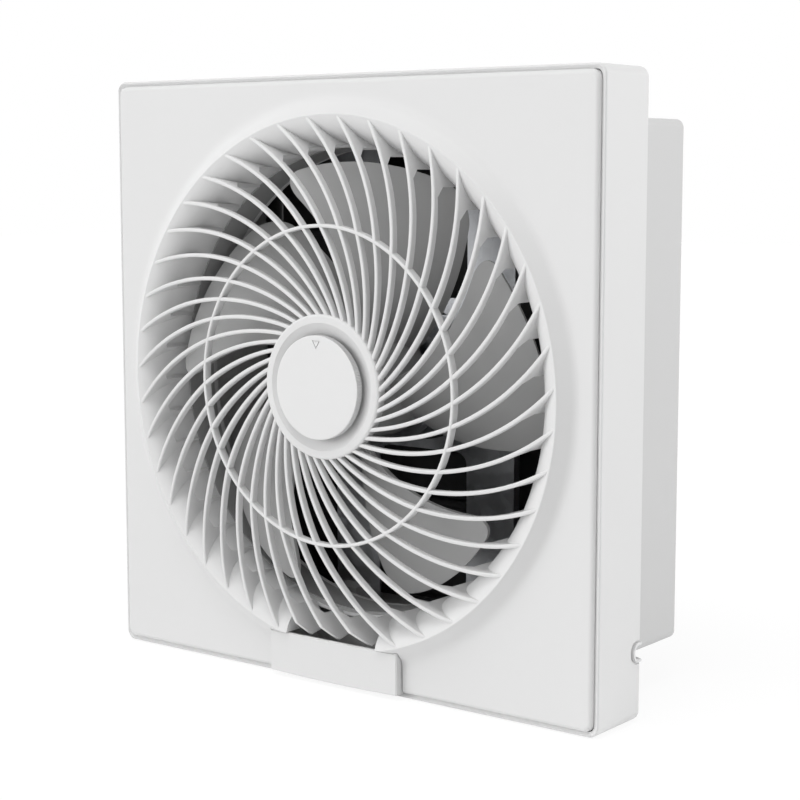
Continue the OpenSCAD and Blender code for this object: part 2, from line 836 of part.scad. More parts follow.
module hub_profile() {
    crest_round = 1.5;
    polygon([
        [hub_in_r, hub_y],
        [hub_r - crest_round, hub_y],
        [hub_r, hub_y + crest_round],
        [hub_r, hub_back],
        [hub_r - hub_wall, hub_back],
        [hub_r - hub_wall, hub_y + 2.6],
        [hub_in_r + 0.8, hub_y + 2.2],
        [hub_cone_r + hub_wall, hub_cone_y + 1.9],
        [hub_cone_r + hub_wall, hub_floor_rear],
        [stem_hole_r, hub_floor_rear],
        [stem_hole_r, hub_floor_y],
        [hub_cone_r, hub_floor_y],
        [hub_cone_r, hub_cone_y]
    ]);
}

module middle_ring_profile() {
    translate([ring_r - ring_w, rib_front - 0.1]) square([ring_w, ring_depth]);
}

module front_grille() {
    color(shell_white) difference() {
        union() {
            difference() {
                union() {
                    slab(2 * panel_half, panel_front, panel_front + panel_side,
                         frame_corner_r - 0.5, panel_edge_r);
                    slab(2 * skirt_half, panel_front + panel_edge_r, skirt_rear,
                         frame_corner_r - frame_wall);
                }
                slab(2 * (skirt_half - skirt_t), panel_rear, skirt_rear + over, 2);
                rod_y(lip_r + 2, panel_front - over, panel_rear + over, 180);
            }
            difference() {
                around_y() bell_profile();
                drip_window();
            }
            ribs();
            drip_walls();
            around_y(96) hub_profile();
            around_y() middle_ring_profile();
        }
        cup_cutout();
        ring_of(3, knob_turn + 90) lug_slot();
    }
}

// The openings in the panel and lip for the oil cup's front, and in the skirt for its trough.
module cup_cutout() {
    block([-cup_half - cup_gap, lip_y - over, -frame_half - over],
          [cup_half + cup_gap, panel_rear + cup_gap, cup_cut_top]);
    block([-cup_half - cup_gap, lip_y - over, -frame_half - over],
          [cup_half + cup_gap, skirt_rear + over, cup_rim_z + cup_gap]);
}

// A slot in the hub's floor that lets one lug of the knob through at the unlocked angle.
module lug_slot() {
    reach = stem_r + lug_reach + 0.4;
    intersection() {
        tube_y(reach, stem_r - over, hub_floor_y - 0.2, hub_floor_rear + over);
        along_y(hub_floor_y - 0.4, hub_floor_rear + over) sector(2 * reach, lug_angle / 2 + 1.5);
    }
}

// A triangle from the axis that spreads by an angle to each side of X.
module sector(reach, turn) {
    polygon([[0, 0], reach * [cos(turn), -sin(turn)], reach * [cos(turn), sin(turn)]]);
}

module hub_knob() {
    edge = 1;
    mark = 2.1;
    mark_z = knob_r - 5.6;
    color(shell_white) difference() {
        union() {
            around_y(96) polygon([
                [0, knob_front],
                [knob_r - edge, knob_front],
                [knob_r, knob_front + edge],
                [knob_r, knob_rear],
                [knob_r - knob_skin, knob_rear],
                [knob_r - knob_skin, knob_front + knob_skin],
                [stem_r, knob_front + knob_skin],
                [stem_r, lug_y + lug_t],
                [stem_r - stem_wall, lug_y + lug_t],
                [stem_r - stem_wall, knob_front + knob_skin],
                [0, knob_front + knob_skin]
            ]);
            ring_of(3, 90) intersection() {
                tube_y(stem_r + lug_reach, stem_r - stem_wall / 2, lug_y, lug_y + lug_t);
                along_y(lug_y - over, lug_y + lug_t + over) sector(2 * stem_r, lug_angle / 2);
            }
        }
        along_y(knob_front - over, knob_front + 0.3) difference() {
            translate([0, mark_z]) rotate(-90) circle(mark + 0.5, $fn = 3);
            translate([0, mark_z]) rotate(-90) circle(mark - 0.3, $fn = 3);
        }
    }
}

// Four leaf springs on the frame's floor that press against the panel's skirt.
module panel_catches() {
    leaf_t = 0.8;
    leaf_x = skirt_half - skirt_t - seat;
    leaf_half = 7;
    catch_z = 84;
    foot = 9;
    color(steel) for (side = [-1, 1], end = [-1, 1]) translate([0, 0, end * catch_z])
        mirror([side < 0 ? 1 : 0, 0, 0]) {
            block([leaf_x - leaf_t, skirt_rear - 8, -leaf_half], [leaf_x, floor_y, leaf_half]);
            block([leaf_x - foot, floor_y - leaf_t, -leaf_half], [leaf_x, floor_y, leaf_half]);
        }
}

module oil_cup() {
    front_r = 1.2;
    color(shell_white) {
        difference() {
            intersection() {
                block([-cup_half, cup_front_y, cup_bottom], [cup_half, cup_side_rear, cup_top]);
                translate([0, cup_front_y + cup_half, 0]) linear_extrude(frame_w + 2 * over, center = true)
                    round_rect(2 * cup_half, 2 * cup_half, front_r);
            }
            block([-cup_half + cup_side_t, cup_front_rear, cup_bottom + cup_side_t - 0.6],
                  [cup_half - cup_side_t, cup_side_rear + over, cup_top + over]);
        }
        difference() {
            block([-cup_body_half, cup_front_rear - 0.5, cup_floor_z],
                  [cup_body_half, cup_rear_y, cup_rim_z]);
            block([-cup_body_half + cup_wall, cup_front_rear, cup_floor_z + cup_wall],
                  [cup_body_half - cup_wall, cup_rear_y - cup_wall, cup_rim_z + over]);
        }
    }
}

// ---------------------------------------------------------------- impeller

// Angle behind the leading edge that a blade covers at radius r.
function blade_angle(r) = blade_root_angle
    + (blade_tip_angle - blade_root_angle) * (r - impeller_hub_r) / (tip_r - impeller_hub_r);

// Angle of the leading edge at radius r.
function blade_lead(r) = blade_phase + blade_sweep * (r - impeller_hub_r) / (tip_r - impeller_hub_r);

// Depth of a blade behind its leading edge, at a share s of its angle: flat first, then steep.
function blade_fall(s) = blade_depth * (0.37 * s + 0.63 * s * s);

// Radius of the blade's outer edge at a share s of its angle, with round corners.
function blade_reach(s) = let (
    edge = min(s, 1 - s) * blade_tip_angle * PI / 180 * tip_r / blade_corner
) edge >= 1 ? tip_r : tip_r - blade_corner * (1 - sqrt(1 - (1 - edge) * (1 - edge)));

// Chord shares, closer together near the two round corners.
function blade_share(i) = (1 - cos(180 * i / blade_cols)) / 2;

function blade_point(i, j, side) = let (
    s = blade_share(i),
    root = impeller_hub_r - impeller_wall / 2,
    r = root + (blade_reach(s) - root) * j / blade_rows,
    a = blade_lead(r) - s * blade_angle(r)
) [r * cos(a), -blade_front + blade_fall(s) + side * blade_t / 2, r * sin(a)];

function blade_index(i, j, side) = (i * (blade_rows + 1) + j) * 2 + side;

module blade() {
    points = [for (i = [0 : blade_cols], j = [0 : blade_rows], side = [0, 1])
        blade_point(i, j, 2 * side - 1)];
    sheets = [for (i = [0 : blade_cols - 1], j = [0 : blade_rows - 1], side = [0, 1]) each let (
        a = blade_index(i, j, side), b = blade_index(i + 1, j, side),
        c = blade_index(i + 1, j + 1, side), d = blade_index(i, j + 1, side)
    ) side == 0 ? [[a, c, b], [a, d, c]] : [[a, b, c], [a, c, d]]];
    ends = [for (j = [0 : blade_rows - 1], i = [0, blade_cols]) each let (
        a = blade_index(i, j, 0), b = blade_index(i, j + 1, 0),
        c = blade_index(i, j + 1, 1), d = blade_index(i, j, 1)
    ) i == 0 ? [[a, c, b], [a, d, c]] : [[a, b, c], [a, c, d]]];
    rims = [for (i = [0 : blade_cols - 1], j = [0, blade_rows]) each let (
        a = blade_index(i, j, 0), b = blade_index(i + 1, j, 0),
        c = blade_index(i + 1, j, 1), d = blade_index(i, j, 1)
    ) j == 0 ? [[a, b, c], [a, c, d]] : [[a, c, b], [a, d, c]]];
    polyhedron(points, concat(sheets, ends, rims));
}

module impeller() {
    color(blade_grey) {
        difference() {
            union() {
                tube_y(impeller_hub_r, impeller_hub_r - impeller_wall, hub_front, hub_rear);
                rod_y(impeller_hub_r - impeller_wall / 2, hub_face, hub_face + impeller_wall, 96);
                rod_y(boss_r, hub_face + over, boss_rear, 64);
                ring_of(6) block([boss_r - 1, hub_face + over, -0.8],
                                 [impeller_hub_r - 1, insert_rear - 8, 0.8]);
            }
            rod_y(shaft_r + 0.6, hub_face - over, insert_front + over, 48);
            rod_y(insert_r, insert_front, boss_rear + over, 48);
            block([-pin_half - over, pin_y - pin_r - pin_play, -pin_r - pin_play],
                  [pin_half + over, boss_rear + over, pin_r + pin_play]);
        }
        ring_of(blade_count) blade();
    }
}

module impeller_insert() {
    color(brass) difference() {
        rod_y(insert_r, insert_front, insert_rear, 48);
        rod_y(bore_r, insert_front - over, insert_rear + over, 48);
    }
}

module drive_pin() {
    color(steel) translate([0, pin_y, 0]) rod_x(pin_r, -pin_half, pin_half, 32);
}

module spinner_nut() {
    grip_r = 2.2;
    color(rubber_black) difference() {
        around_y(96) polygon([
            [0, spinner_front], [spinner_r * 0.55, spinner_front],
            [spinner_r * 0.85, spinner_front + spinner_nose],
            [spinner_r, spinner_front + spinner_shoulder], [spinner_r, hub_face], [0, hub_face]
        ]);
        rod_y(thread_r + run, shaft_front - 0.4, hub_face + over, 48);
        ring_of(6) translate([spinner_r + 0.8, 0, 0]) rod_y(grip_r, spinner_front - over, hub_face - 2, 32);
    }
}

// ---------------------------------------------------------------- motor

module motor_shaft() {
    color(steel) difference() {
        union() {
            rod_y(thread_r, shaft_front, hub_face + 0.8, 48);
            rod_y(shaft_r, hub_face + 0.4, shaft_rear, 48);
        }
        translate([0, pin_y, 0]) rod_x(pin_r + run, -shaft_r - over, shaft_r + over, 32);
    }
}

module rotor() {
    ring_t = 3;
    color(dark_steel) difference() {
        union() {
            rod_y(rotor_r, stator_front - 1, stator_rear + 1, 96);
            tube_y(rotor_r - 1, rotor_r - 7, stator_front - 1 - ring_t, stator_rear + 1 + ring_t, 96);
        }
        rod_y(bore_r, stator_front - 10, stator_rear + 10, 48);
    }
}

module thrust_washers() {
    color(brass) {
        for (y = [front_bearing_y + bearing_length, rear_bearing_y - washer_t])
            tube_y(bearing_r - 0.6, bore_r + run, y, y + washer_t, 48);
    }
}

module front_bearing() {
    color(brass) tube_y(bearing_r, bore_r, front_bearing_y, front_bearing_y + bearing_length, 48);
}

module rear_bearing() {
    color(brass) tube_y(bearing_r, bore_r, rear_bearing_y, rear_bearing_y + bearing_length, 48);
}

module stator_core() {
    color(dark_steel) difference() {
        tube_y(stator_r, rotor_r + air_gap, stator_front, stator_rear, 96);
        ring_of(slot_count) {
            translate([slot_ring_r, 0, 0]) rod_y(slot_r, stator_front - over, stator_rear + over, 32);
            block([rotor_r - over, stator_front - over, -slot_mouth / 2],
                  [slot_ring_r - slot_r + 1, stator_rear + over, slot_mouth / 2]);
        }
        ring_of(4, 45) translate([bolt_ring_r, 0, 0])
            rod_y(bolt_r + loose, stator_front - over, stator_rear + over, 32);
    }
}

module stator_windings() {
    color(copper) {
        for (y = [stator_front - seat - end_turn_depth, stator_rear + seat])
            tube_y(slot_ring_r + end_turn_r, slot_ring_r - end_turn_r, y, y + end_turn_depth);
        ring_of(slot_count) translate([slot_ring_r, 0, 0])
            rod_y(wire_r, stator_front - over, stator_rear + over, 32);
    }
}

module motor_front_shell() {
    color(steel) difference() {
        union() {
            difference() {
                rod_y(motor_r, motor_front, motor_flange_y + motor_flange_t, 96);
                rod_y(motor_r - shell_t, motor_front + shell_t, motor_flange_y + motor_flange_t + over, 96);
            }
            rod_y(housing_r, nose_y, front_bearing_y + bearing_length - over, 64);
            difference() {
                along_y(motor_flange_y, motor_flange_y + motor_flange_t)
                    round_rect(2 * (ear_x + ear_r), 2 * (ear_z + ear_r), ear_r);
                rod_y(motor_r - shell_t, motor_flange_y - over, motor_flange_y + motor_flange_t + over, 96);
            }
        }
        rod_y(bearing_r, front_bearing_y, front_bearing_y + bearing_length + over, 48);
        rod_y(bore_r + 0.5, nose_y - over, front_bearing_y + over, 48);
        at_corners(ear_x, ear_z)
            rod_y(damper_hole_r, motor_flange_y - over, motor_flange_y + motor_flange_t + over, 32);
        shell_holes(motor_front - over, motor_front + shell_t + over);
    }
}

// The through bolts' holes and the cooling holes in the flat end of a shell.
module shell_holes(y0, y1) {
    ring_of(4, 45) translate([bolt_ring_r, 0, 0]) rod_y(bolt_r + loose, y0, y1, 32);
    ring_of(8) translate([vent_ring_r, 0, 0]) rod_y(vent_r, y0, y1, 32);
}

module motor_rear_shell() {
    front = motor_flange_y + motor_flange_t;
    color(steel) difference() {
        union() {
            difference() {
                rod_y(motor_r, front, motor_rear, 96);
                rod_y(motor_r - shell_t, front - over, motor_rear - shell_t, 96);
            }
            rod_y(housing_r, rear_bearing_y + over, motor_rear, 64);
        }
        rod_y(bearing_r, rear_bearing_y - over, rear_bearing_y + bearing_length, 48);
        shell_holes(motor_rear - shell_t - over, motor_rear + over);
        lead_entry();
    }
}

module motor_bolts() {
    color(steel) ring_of(4, 45) translate([bolt_ring_r, motor_front, 0]) {
        screw(bolt_r, motor_rear - motor_front + 3, 3, 1.8);
        translate([0, motor_rear - motor_front, 0]) rotate([-90, 0, 0])
            cylinder(r = 3.2, h = 2, $fn = 6);
    }
}

module motor_bracket() {
    flange_h = 6;
    top = duct_in - seat;
    color(steel) difference() {
        union() {
            along_y(bracket_y, bracket_y + bracket_t) difference() {
                square([2 * strut_out, 2 * top], center = true);
                for (end = [-1, 1]) translate([0, end * (cross_h + top) / 2 + end * over])
                    round_rect(2 * strut_in, top - cross_h + 2 * over, bracket_fillet);
                circle(motor_hole_r, $fn = 96);
            }
            for (side = [-1, 1]) translate([side * (strut_out - bracket_t / 2), 0, 0])
                block([-bracket_t / 2, bracket_y, -top + bracket_boss_h],
                      [bracket_t / 2, bracket_y + flange_h, top - bracket_boss_h]);
        }
        at_corners(ear_x, ear_z)
            rod_y(damper_hole_r, bracket_y - over, bracket_y + bracket_t + over, 32);
        at_corners(strut_mid, bracket_screw_z)
            rod_y(duct_screw_r + loose, bracket_y - over, bracket_y + bracket_t + over, 32);
    }
}

module bracket_screws() {
    color(steel) at_corners(strut_mid, bracket_screw_z) translate([0, bracket_y + bracket_t, 0])
        rotate([180, 0, 0]) screw(duct_screw_r, bracket_screw_l, 3.4);
}

module motor_dampers() {
    color(rubber_black) at_corners(ear_x, ear_z)
        tube_y(damper_r, damper_hole_r, bracket_y - damper_t, bracket_y, 48);
}

module damper_screws() {
    color(steel) at_corners(ear_x, ear_z) translate([0, motor_flange_y, 0])
        screw(damper_screw_r, motor_flange_t + damper_t + bracket_t + damper_screw_out, damper_head_r);
}

module damper_nuts() {
    nut_h = 3;
    color(steel) at_corners(ear_x, ear_z) translate([0, bracket_y + bracket_t, 0]) rotate([-90, 0, 0])
        difference() {
            cylinder(r = 4, h = nut_h, $fn = 6);
            translate([0, 0, -over]) cylinder(r = damper_screw_r + run, h = nut_h + 2 * over, $fn = 32);
        }
}

module capacitor() {
    half_w = 14;
    half_h = 20;
    depth = 17;
    cap_drop = 27.5;
    cap_z = duct_in - bracket_boss_h - cap_drop - half_h;
    rear = bracket_y + bracket_t;
    color([0.85, 0.83, 0.78]) translate([-strut_mid, 0, cap_z])
        along_y(rear, rear + depth) round_rect(2 * half_w, 2 * half_h, 3);
}

// ---------------------------------------------------------------- wiring

// A route with each corner replaced by a short curve.
function rounded(route, size, steps = 5) = let (n = len(route)) concat(
    [route[0]],
    [for (i = [1 : n - 2]) each let (
        a = route[i] + size * unit(route[i - 1] - route[i]),
        b = route[i] + size * unit(route[i + 1] - route[i])
    ) [for (k = [0 : steps]) let (t = k / steps)
        (1 - t) * (1 - t) * a + 2 * t * (1 - t) * route[i] + t * t * b]],
    [route[n - 1]]
);

function unit(v) = v / norm(v);

// The direction of a route at its point i.
function heading(route, i) = unit(route[min(i + 1, len(route) - 1)] - route[max(i - 1, 0)]);

// A closed tube of radius r along a route.
module tube_along(route, r, sides) {
    n = len(route);
    lean = [0.31, 0.55, 0.77];
    points = [for (i = [0 : n - 1]) each let (
        d = heading(route, i), u = unit(cross(d, lean)), v = cross(d, u)
    ) [for (k = [0 : sides - 1]) route[i] + r * (cos(360 * k / sides) * u + sin(360 * k / sides) * v)]];
    walls = [for (i = [0 : n - 2], k = [0 : sides - 1]) each let (
        a = i * sides + k, b = i * sides + (k + 1) % sides
    ) [[a, a + sides, b + sides], [a, b + sides, b]]];
    first = [[for (k = [0 : sides - 1]) k]];
    last = [[for (k = [sides - 1 : -1 : 0]) (n - 1) * sides + k]];
    polyhedron(points, concat(walls, first, last));
}

module motor_lead() {
    color([0.3, 0.3, 0.32]) tube_along(rounded(lead_corners, lead_bend), lead_r, lead_sides);
}

// The hole in the motor's shell for the end of the lead.
module lead_entry() {
    translate([0, lead_lane_y, 0]) rotate([0, 45, 0])
        translate([stator_r - over, 0, 0]) rotate([0, 90, 0])
            cylinder(r = lead_r + loose, h = 8, $fn = 48);
}

// Two saddles that hold the lead against the rear of the strut.
module lead_clips() {
    clip_wall = 1.4;
    clip_half = 3;
    clip_foot = 3;
    rear = bracket_y + bracket_t;
    top = lead_lane_y + lead_r + clip_wall;
    inner = lead_r + loose;
    outer = lead_r + clip_wall;
    color(shell_white) for (z = lead_clip_z) translate([lead_up_x, 0, z]) difference() {
        union() {
            block([-outer, rear, -clip_half], [outer, top, clip_half]);
            block([-outer - clip_foot, rear, -clip_half], [outer + clip_foot, rear + clip_wall, clip_half]);
        }
        translate([0, lead_lane_y, 0]) cylinder(r = inner, h = 4 * clip_half, center = true, $fn = 48);
        block([-inner, rear - over, -clip_half - over], [inner, lead_lane_y, clip_half + over]);
    }
}

module lead_grommet() {
    flange = 1.6;
    color(rubber_black) translate([lead_x, 0, lead_z]) difference() {
        union() {
            rod_y(lead_hole_r - loose, floor_y - terminal_wall, 1.6, 48);
            rod_y(lead_hole_r + 2, 0.2, flange, 48);
        }
        rod_y(lead_r + loose, floor_y - 10, 10, 48);
    }
}

module terminal_box() {
    color(inner_white) difference() {
        block([terminal_x, terminal_front, terminal_z], [terminal_right, floor_y, terminal_top]);
        block([terminal_x + terminal_wall, terminal_front - over, terminal_z + terminal_wall],
              [terminal_right - terminal_wall, floor_y - terminal_wall, terminal_top - terminal_wall]);
        translate([lead_x, 0, lead_z])
            rod_y(lead_hole_r, floor_y - terminal_wall - over, floor_y + over, 48);
        translate([0, clamp_y, inlet_z])
            rod_x(clamp_r, terminal_right - terminal_wall - over, terminal_right + over);
    }
}

module terminal_block() {
    way = 9;
    depth = 11;
    low = terminal_z + terminal_wall + seat;
    color([0.15, 0.25, 0.5]) translate([terminal_x + 12, 0, low]) difference() {
        block([0, floor_y - depth, 0], [2 * way, floor_y - terminal_wall, 12]);
        for (i = [0, 1]) translate([(i + 0.5) * way, 0, 6.5])
            rod_y(2, floor_y - depth - over, floor_y - depth / 2, 32);
    }
}

module terminal_lid() {
    color(inner_white) difference() {
        block([terminal_x, terminal_front - lid_t, terminal_z],
              [terminal_right, terminal_front, terminal_top]);
        translate([lid_screw_x, 0, lid_screw_z])
            rod_y(throat_shank_r + loose, terminal_front - lid_t - over, terminal_front + over, 32);
    }
}

module lid_screw() {
    color(steel) translate([lid_screw_x, terminal_front - lid_t, lid_screw_z]) screw(throat_shank_r, 9, 3);
}

// Copies at the clamp's two screws.
module at_clamp_screws() {
    for (side = [-1, 1])
        translate([clamp_x + clamp_w / 2, 0, inlet_z + side * (clamp_half_h - 2.2)]) children();
}

module cord_clamp() {
    color(inner_white) difference() {
        block([clamp_x, floor_y - clamp_depth, inlet_z - clamp_half_h],
              [clamp_x + clamp_w, floor_y, inlet_z + clamp_half_h]);
        translate([0, clamp_y, inlet_z]) rod_x(clamp_r, clamp_x - over, clamp_x + clamp_w + over);
        at_clamp_screws() rod_y(clamp_screw_r + loose, floor_y - clamp_depth - over, over, 32);
    }
}

module clamp_screws() {
    color(steel) at_clamp_screws() translate([0, floor_y - clamp_depth, 0])
        screw(clamp_screw_r, clamp_depth + floor_t - 0.4, 2.1, 1.4);
}

// ---------------------------------------------------------------- shutter

module shutter_frame() {
    stop_h = 4;
    color(flap_grey) difference() {
        union() {
            difference() {
                along_y(shutter_front, shutter_rear)
                    round_rect(2 * shutter_half, 2 * shutter_half, duct_corner_r - duct_wall);
                along_y(shutter_front - over, shutter_rear + over) square(2 * shutter_in, center = true);
            }
            at_corners(shutter_in - lug_w / 2, shutter_in - lug_w / 2)
                block([-lug_half, shutter_front, -lug_half],
                      [lug_half, shutter_front + shutter_lug_t, lug_half]);
            block([-shutter_in - over, pin_depth + flap_skin - 2, -shutter_in - over],
                  [shutter_in + over, pin_depth + flap_lip_out - seat, -shutter_in + stop_h]);
            block([-shutter_in - over, pin_depth + flap_skin + flap_t + 0.6, first_pin_z + barrel_r + 0.8],
                  [shutter_in + over, pin_depth + flap_skin + flap_t + 2.2, shutter_in + over]);
        }
        for (i = [0 : flap_count - 1]) translate([0, pin_depth, first_pin_z - i * flap_pitch])
            for (turn = [0, 180]) rotate([0, 0, turn])
                rod_x(flap_pin_r + run, shutter_in - over, shutter_half + over);
        at_corners(shutter_screw, shutter_screw)
            rod_y(shutter_screw_r + loose, shutter_front - over,
                  shutter_front + shutter_lug_t + over, 32);
    }
}

module shutter_screws() {
    color(steel) at_corners(shutter_screw, shutter_screw)
        translate([0, shutter_front + shutter_lug_t, 0]) rotate([180, 0, 0])
            screw(shutter_screw_r, shutter_screw_l, 2.6, 1.8);
}

// One flap, with its hinge axis on X at its top edge, hanging closed.
module flap() {
    color(flap_grey) difference() {
        union() {
            rod_x(barrel_r, -flap_half, flap_half);
            rotate([90, 0, 90]) linear_extrude(2 * flap_half, center = true) polygon([
                [flap_skin, 0],
                [flap_skin, -flap_bend_z - flap_t],
                [flap_lip_out, -flap_bend_z - flap_t],
                [flap_lip_out, -flap_lip_z],
                [flap_lip_out + flap_t, -flap_lip_z],
                [flap_lip_out + flap_t, -flap_bend_z],
                [flap_skin + flap_t, -flap_bend_z],
                [flap_skin + flap_t, 0]
            ]);
            rod_x(flap_pin_r, -flap_pin_end, flap_pin_end);
            flap_ear();
        }
        translate([0, ear_y, ear_up])
            rod_x(link_pin_r + run, link_x - over, link_x + flap_ear_t + over);
    }
}

module flap_ear() {
    translate([0, ear_y, ear_up]) rod_x(flap_ear_r, link_x, link_x + flap_ear_t);
    block([link_x, ear_y, -barrel_r], [link_x + flap_ear_t, flap_skin / 2, ear_up + flap_ear_r - 1]);
}

module place_flap(i) {
    translate([0, pin_depth, first_pin_z - (i - 1) * flap_pitch]) children();
}

module shutter_flap_1() { place_flap(1) flap(); }
module shutter_flap_2() { place_flap(2) flap(); }
module shutter_flap_3() { place_flap(3) flap(); }
module shutter_flap_4() { place_flap(4) flap(); }
module shutter_flap_5() { place_flap(5) flap(); }

// The upright bar that makes the flaps turn together, with a pin through each flap's ear.
module shutter_link() {
    bar_x = link_x + flap_ear_t + seat;
    end = link_w / 2 + 0.4;
    top = first_pin_z + ear_up;
    color(dark_steel) translate([0, pin_depth + ear_y, 0]) {
        block([bar_x, -link_w / 2, top - (flap_count - 1) * flap_pitch - end],
              [bar_x + link_t, link_w / 2, top + end]);
        for (i = [0 : flap_count - 1]) translate([0, 0, top - i * flap_pitch])
            rod_x(link_pin_r, link_x - 0.8, bar_x + link_t / 2);
    }
}

// ---------------------------------------------------------------- the whole fan

body_frame();
throat_ring();
throat_screws();
rear_duct();
duct_screws();
front_grille();
panel_catches();
hub_knob();
oil_cup();
impeller();
impeller_insert();
spinner_nut();
drive_pin();
motor_shaft();
rotor();
thrust_washers();
front_bearing();
rear_bearing();
stator_core();
stator_windings();
motor_front_shell();
motor_rear_shell();
motor_bolts();
motor_bracket();
bracket_screws();
motor_dampers();
damper_screws();
damper_nuts();
capacitor();
motor_lead();
lead_clips();
lead_grommet();
terminal_box();
terminal_block();
terminal_lid();
lid_screw();
cord_clamp();
clamp_screws();
shutter_frame();
shutter_screws();
shutter_flap_1();
shutter_flap_2();
shutter_flap_3();
shutter_flap_4();
shutter_flap_5();
shutter_link();
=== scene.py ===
"""Finish of the window exhaust fan: panel, grille, frame, duct, impeller, motor and shutter.

Lengths are held in millimetres and become metres when a mesh is written. X points to the right
seen from the room, Y outdoors and Z up. The origin is on the fan's axis, in the plane of the
window board that the frame is screwed to.
"""

import logging
import math
from dataclasses import dataclass
from enum import Enum
from typing import Iterable, Optional, Sequence, Union

import bmesh
import bpy
from mathutils import Matrix, Vector


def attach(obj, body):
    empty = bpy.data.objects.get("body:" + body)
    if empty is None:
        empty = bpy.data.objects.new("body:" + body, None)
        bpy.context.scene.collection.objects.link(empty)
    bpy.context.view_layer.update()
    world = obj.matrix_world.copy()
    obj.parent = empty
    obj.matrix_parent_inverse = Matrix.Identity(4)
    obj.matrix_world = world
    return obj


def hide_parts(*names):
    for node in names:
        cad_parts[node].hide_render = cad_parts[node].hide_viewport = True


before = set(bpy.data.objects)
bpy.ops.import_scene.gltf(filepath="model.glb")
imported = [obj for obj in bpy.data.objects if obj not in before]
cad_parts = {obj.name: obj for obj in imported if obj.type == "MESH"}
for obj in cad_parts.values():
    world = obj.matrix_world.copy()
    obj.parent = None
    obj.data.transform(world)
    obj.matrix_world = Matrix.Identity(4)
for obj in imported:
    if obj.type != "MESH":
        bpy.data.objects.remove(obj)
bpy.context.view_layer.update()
MM = 0.001
WHITE = (1.0, 1.0, 1.0, 1.0)
FACE_WEIGHT = 80
LOG = logging.getLogger("exhaust_fan")

Point = tuple[float, float, float]
Flat = tuple[float, float]
Colour = tuple[float, float, float]


def grey(level: float) -> Colour:
    """A colour without a tint."""
    return (level, level, level)


# ---------------------------------------------------------------- node trees


class Wire:
    """An output socket whose arithmetic adds Math nodes to its tree."""

    def __init__(self, net: "Net", socket: bpy.types.NodeSocket) -> None:
        """Wraps socket, which is an output of a node in net."""
        self.net = net
        self.socket = socket

    def __add__(self, other: "Value") -> "Wire":
        """self + other."""
        return self.net.maths("ADD", self, other)

    def __radd__(self, other: "Value") -> "Wire":
        """other + self."""
        return self.net.maths("ADD", other, self)

    def __sub__(self, other: "Value") -> "Wire":
        """self - other."""
        return self.net.maths("SUBTRACT", self, other)

    def __rsub__(self, other: "Value") -> "Wire":
        """other - self."""
        return self.net.maths("SUBTRACT", other, self)

    def __mul__(self, other: "Value") -> "Wire":
        """self * other."""
        return self.net.maths("MULTIPLY", self, other)

    def __rmul__(self, other: "Value") -> "Wire":
        """other * self."""
        return self.net.maths("MULTIPLY", other, self)

    def __truediv__(self, other: "Value") -> "Wire":
        """self / other."""
        return self.net.maths("DIVIDE", self, other)

Value = Union[Wire, float, tuple]


class Net:
    """A node tree, of a material or of Geometry Nodes, that is written as expressions."""

    def __init__(self, tree: bpy.types.NodeTree) -> None:
        """Starts on tree, which is emptied."""
        self.tree = tree
        tree.nodes.clear()

    def add(self, kind: str, settings: Optional[dict] = None, inputs: Optional[dict] = None,
            output: Union[int, str] = 0) -> Wire:
        """Adds one node.

        Args:
            kind: the node's type.
            settings: the node's own properties, set before its sockets.
            inputs: a value or a Wire for each input socket, by name or number.
            output: the output socket that is wanted.

        Returns:
            The Wire from that output.
        """
        node = self.tree.nodes.new(kind)
        for name, value in (settings or {}).items():
            setattr(node, name, value)
        for key, value in (inputs or {}).items():
            if isinstance(value, Wire):
                self.tree.links.new(value.socket, node.inputs[key])
            else:
                node.inputs[key].default_value = value
        return Wire(self, node.outputs[output])

    def maths(self, operation: str, *values: Value) -> Wire:
        """Adds a Math node for operation on values and returns its result."""
        return self.add("ShaderNodeMath", {"operation": operation}, dict(enumerate(values)))

    def ends(self, kind: str, inputs: dict) -> None:
        """Adds the tree's last node, which has no output, and links its inputs.

        Args:
            kind: the node's type.
            inputs: a Wire for each input socket, by name.
        """
        node = self.tree.nodes.new(kind)
        for key, value in inputs.items():
            self.tree.links.new(value.socket, node.inputs[key])


# ---------------------------------------------------------------- finishes


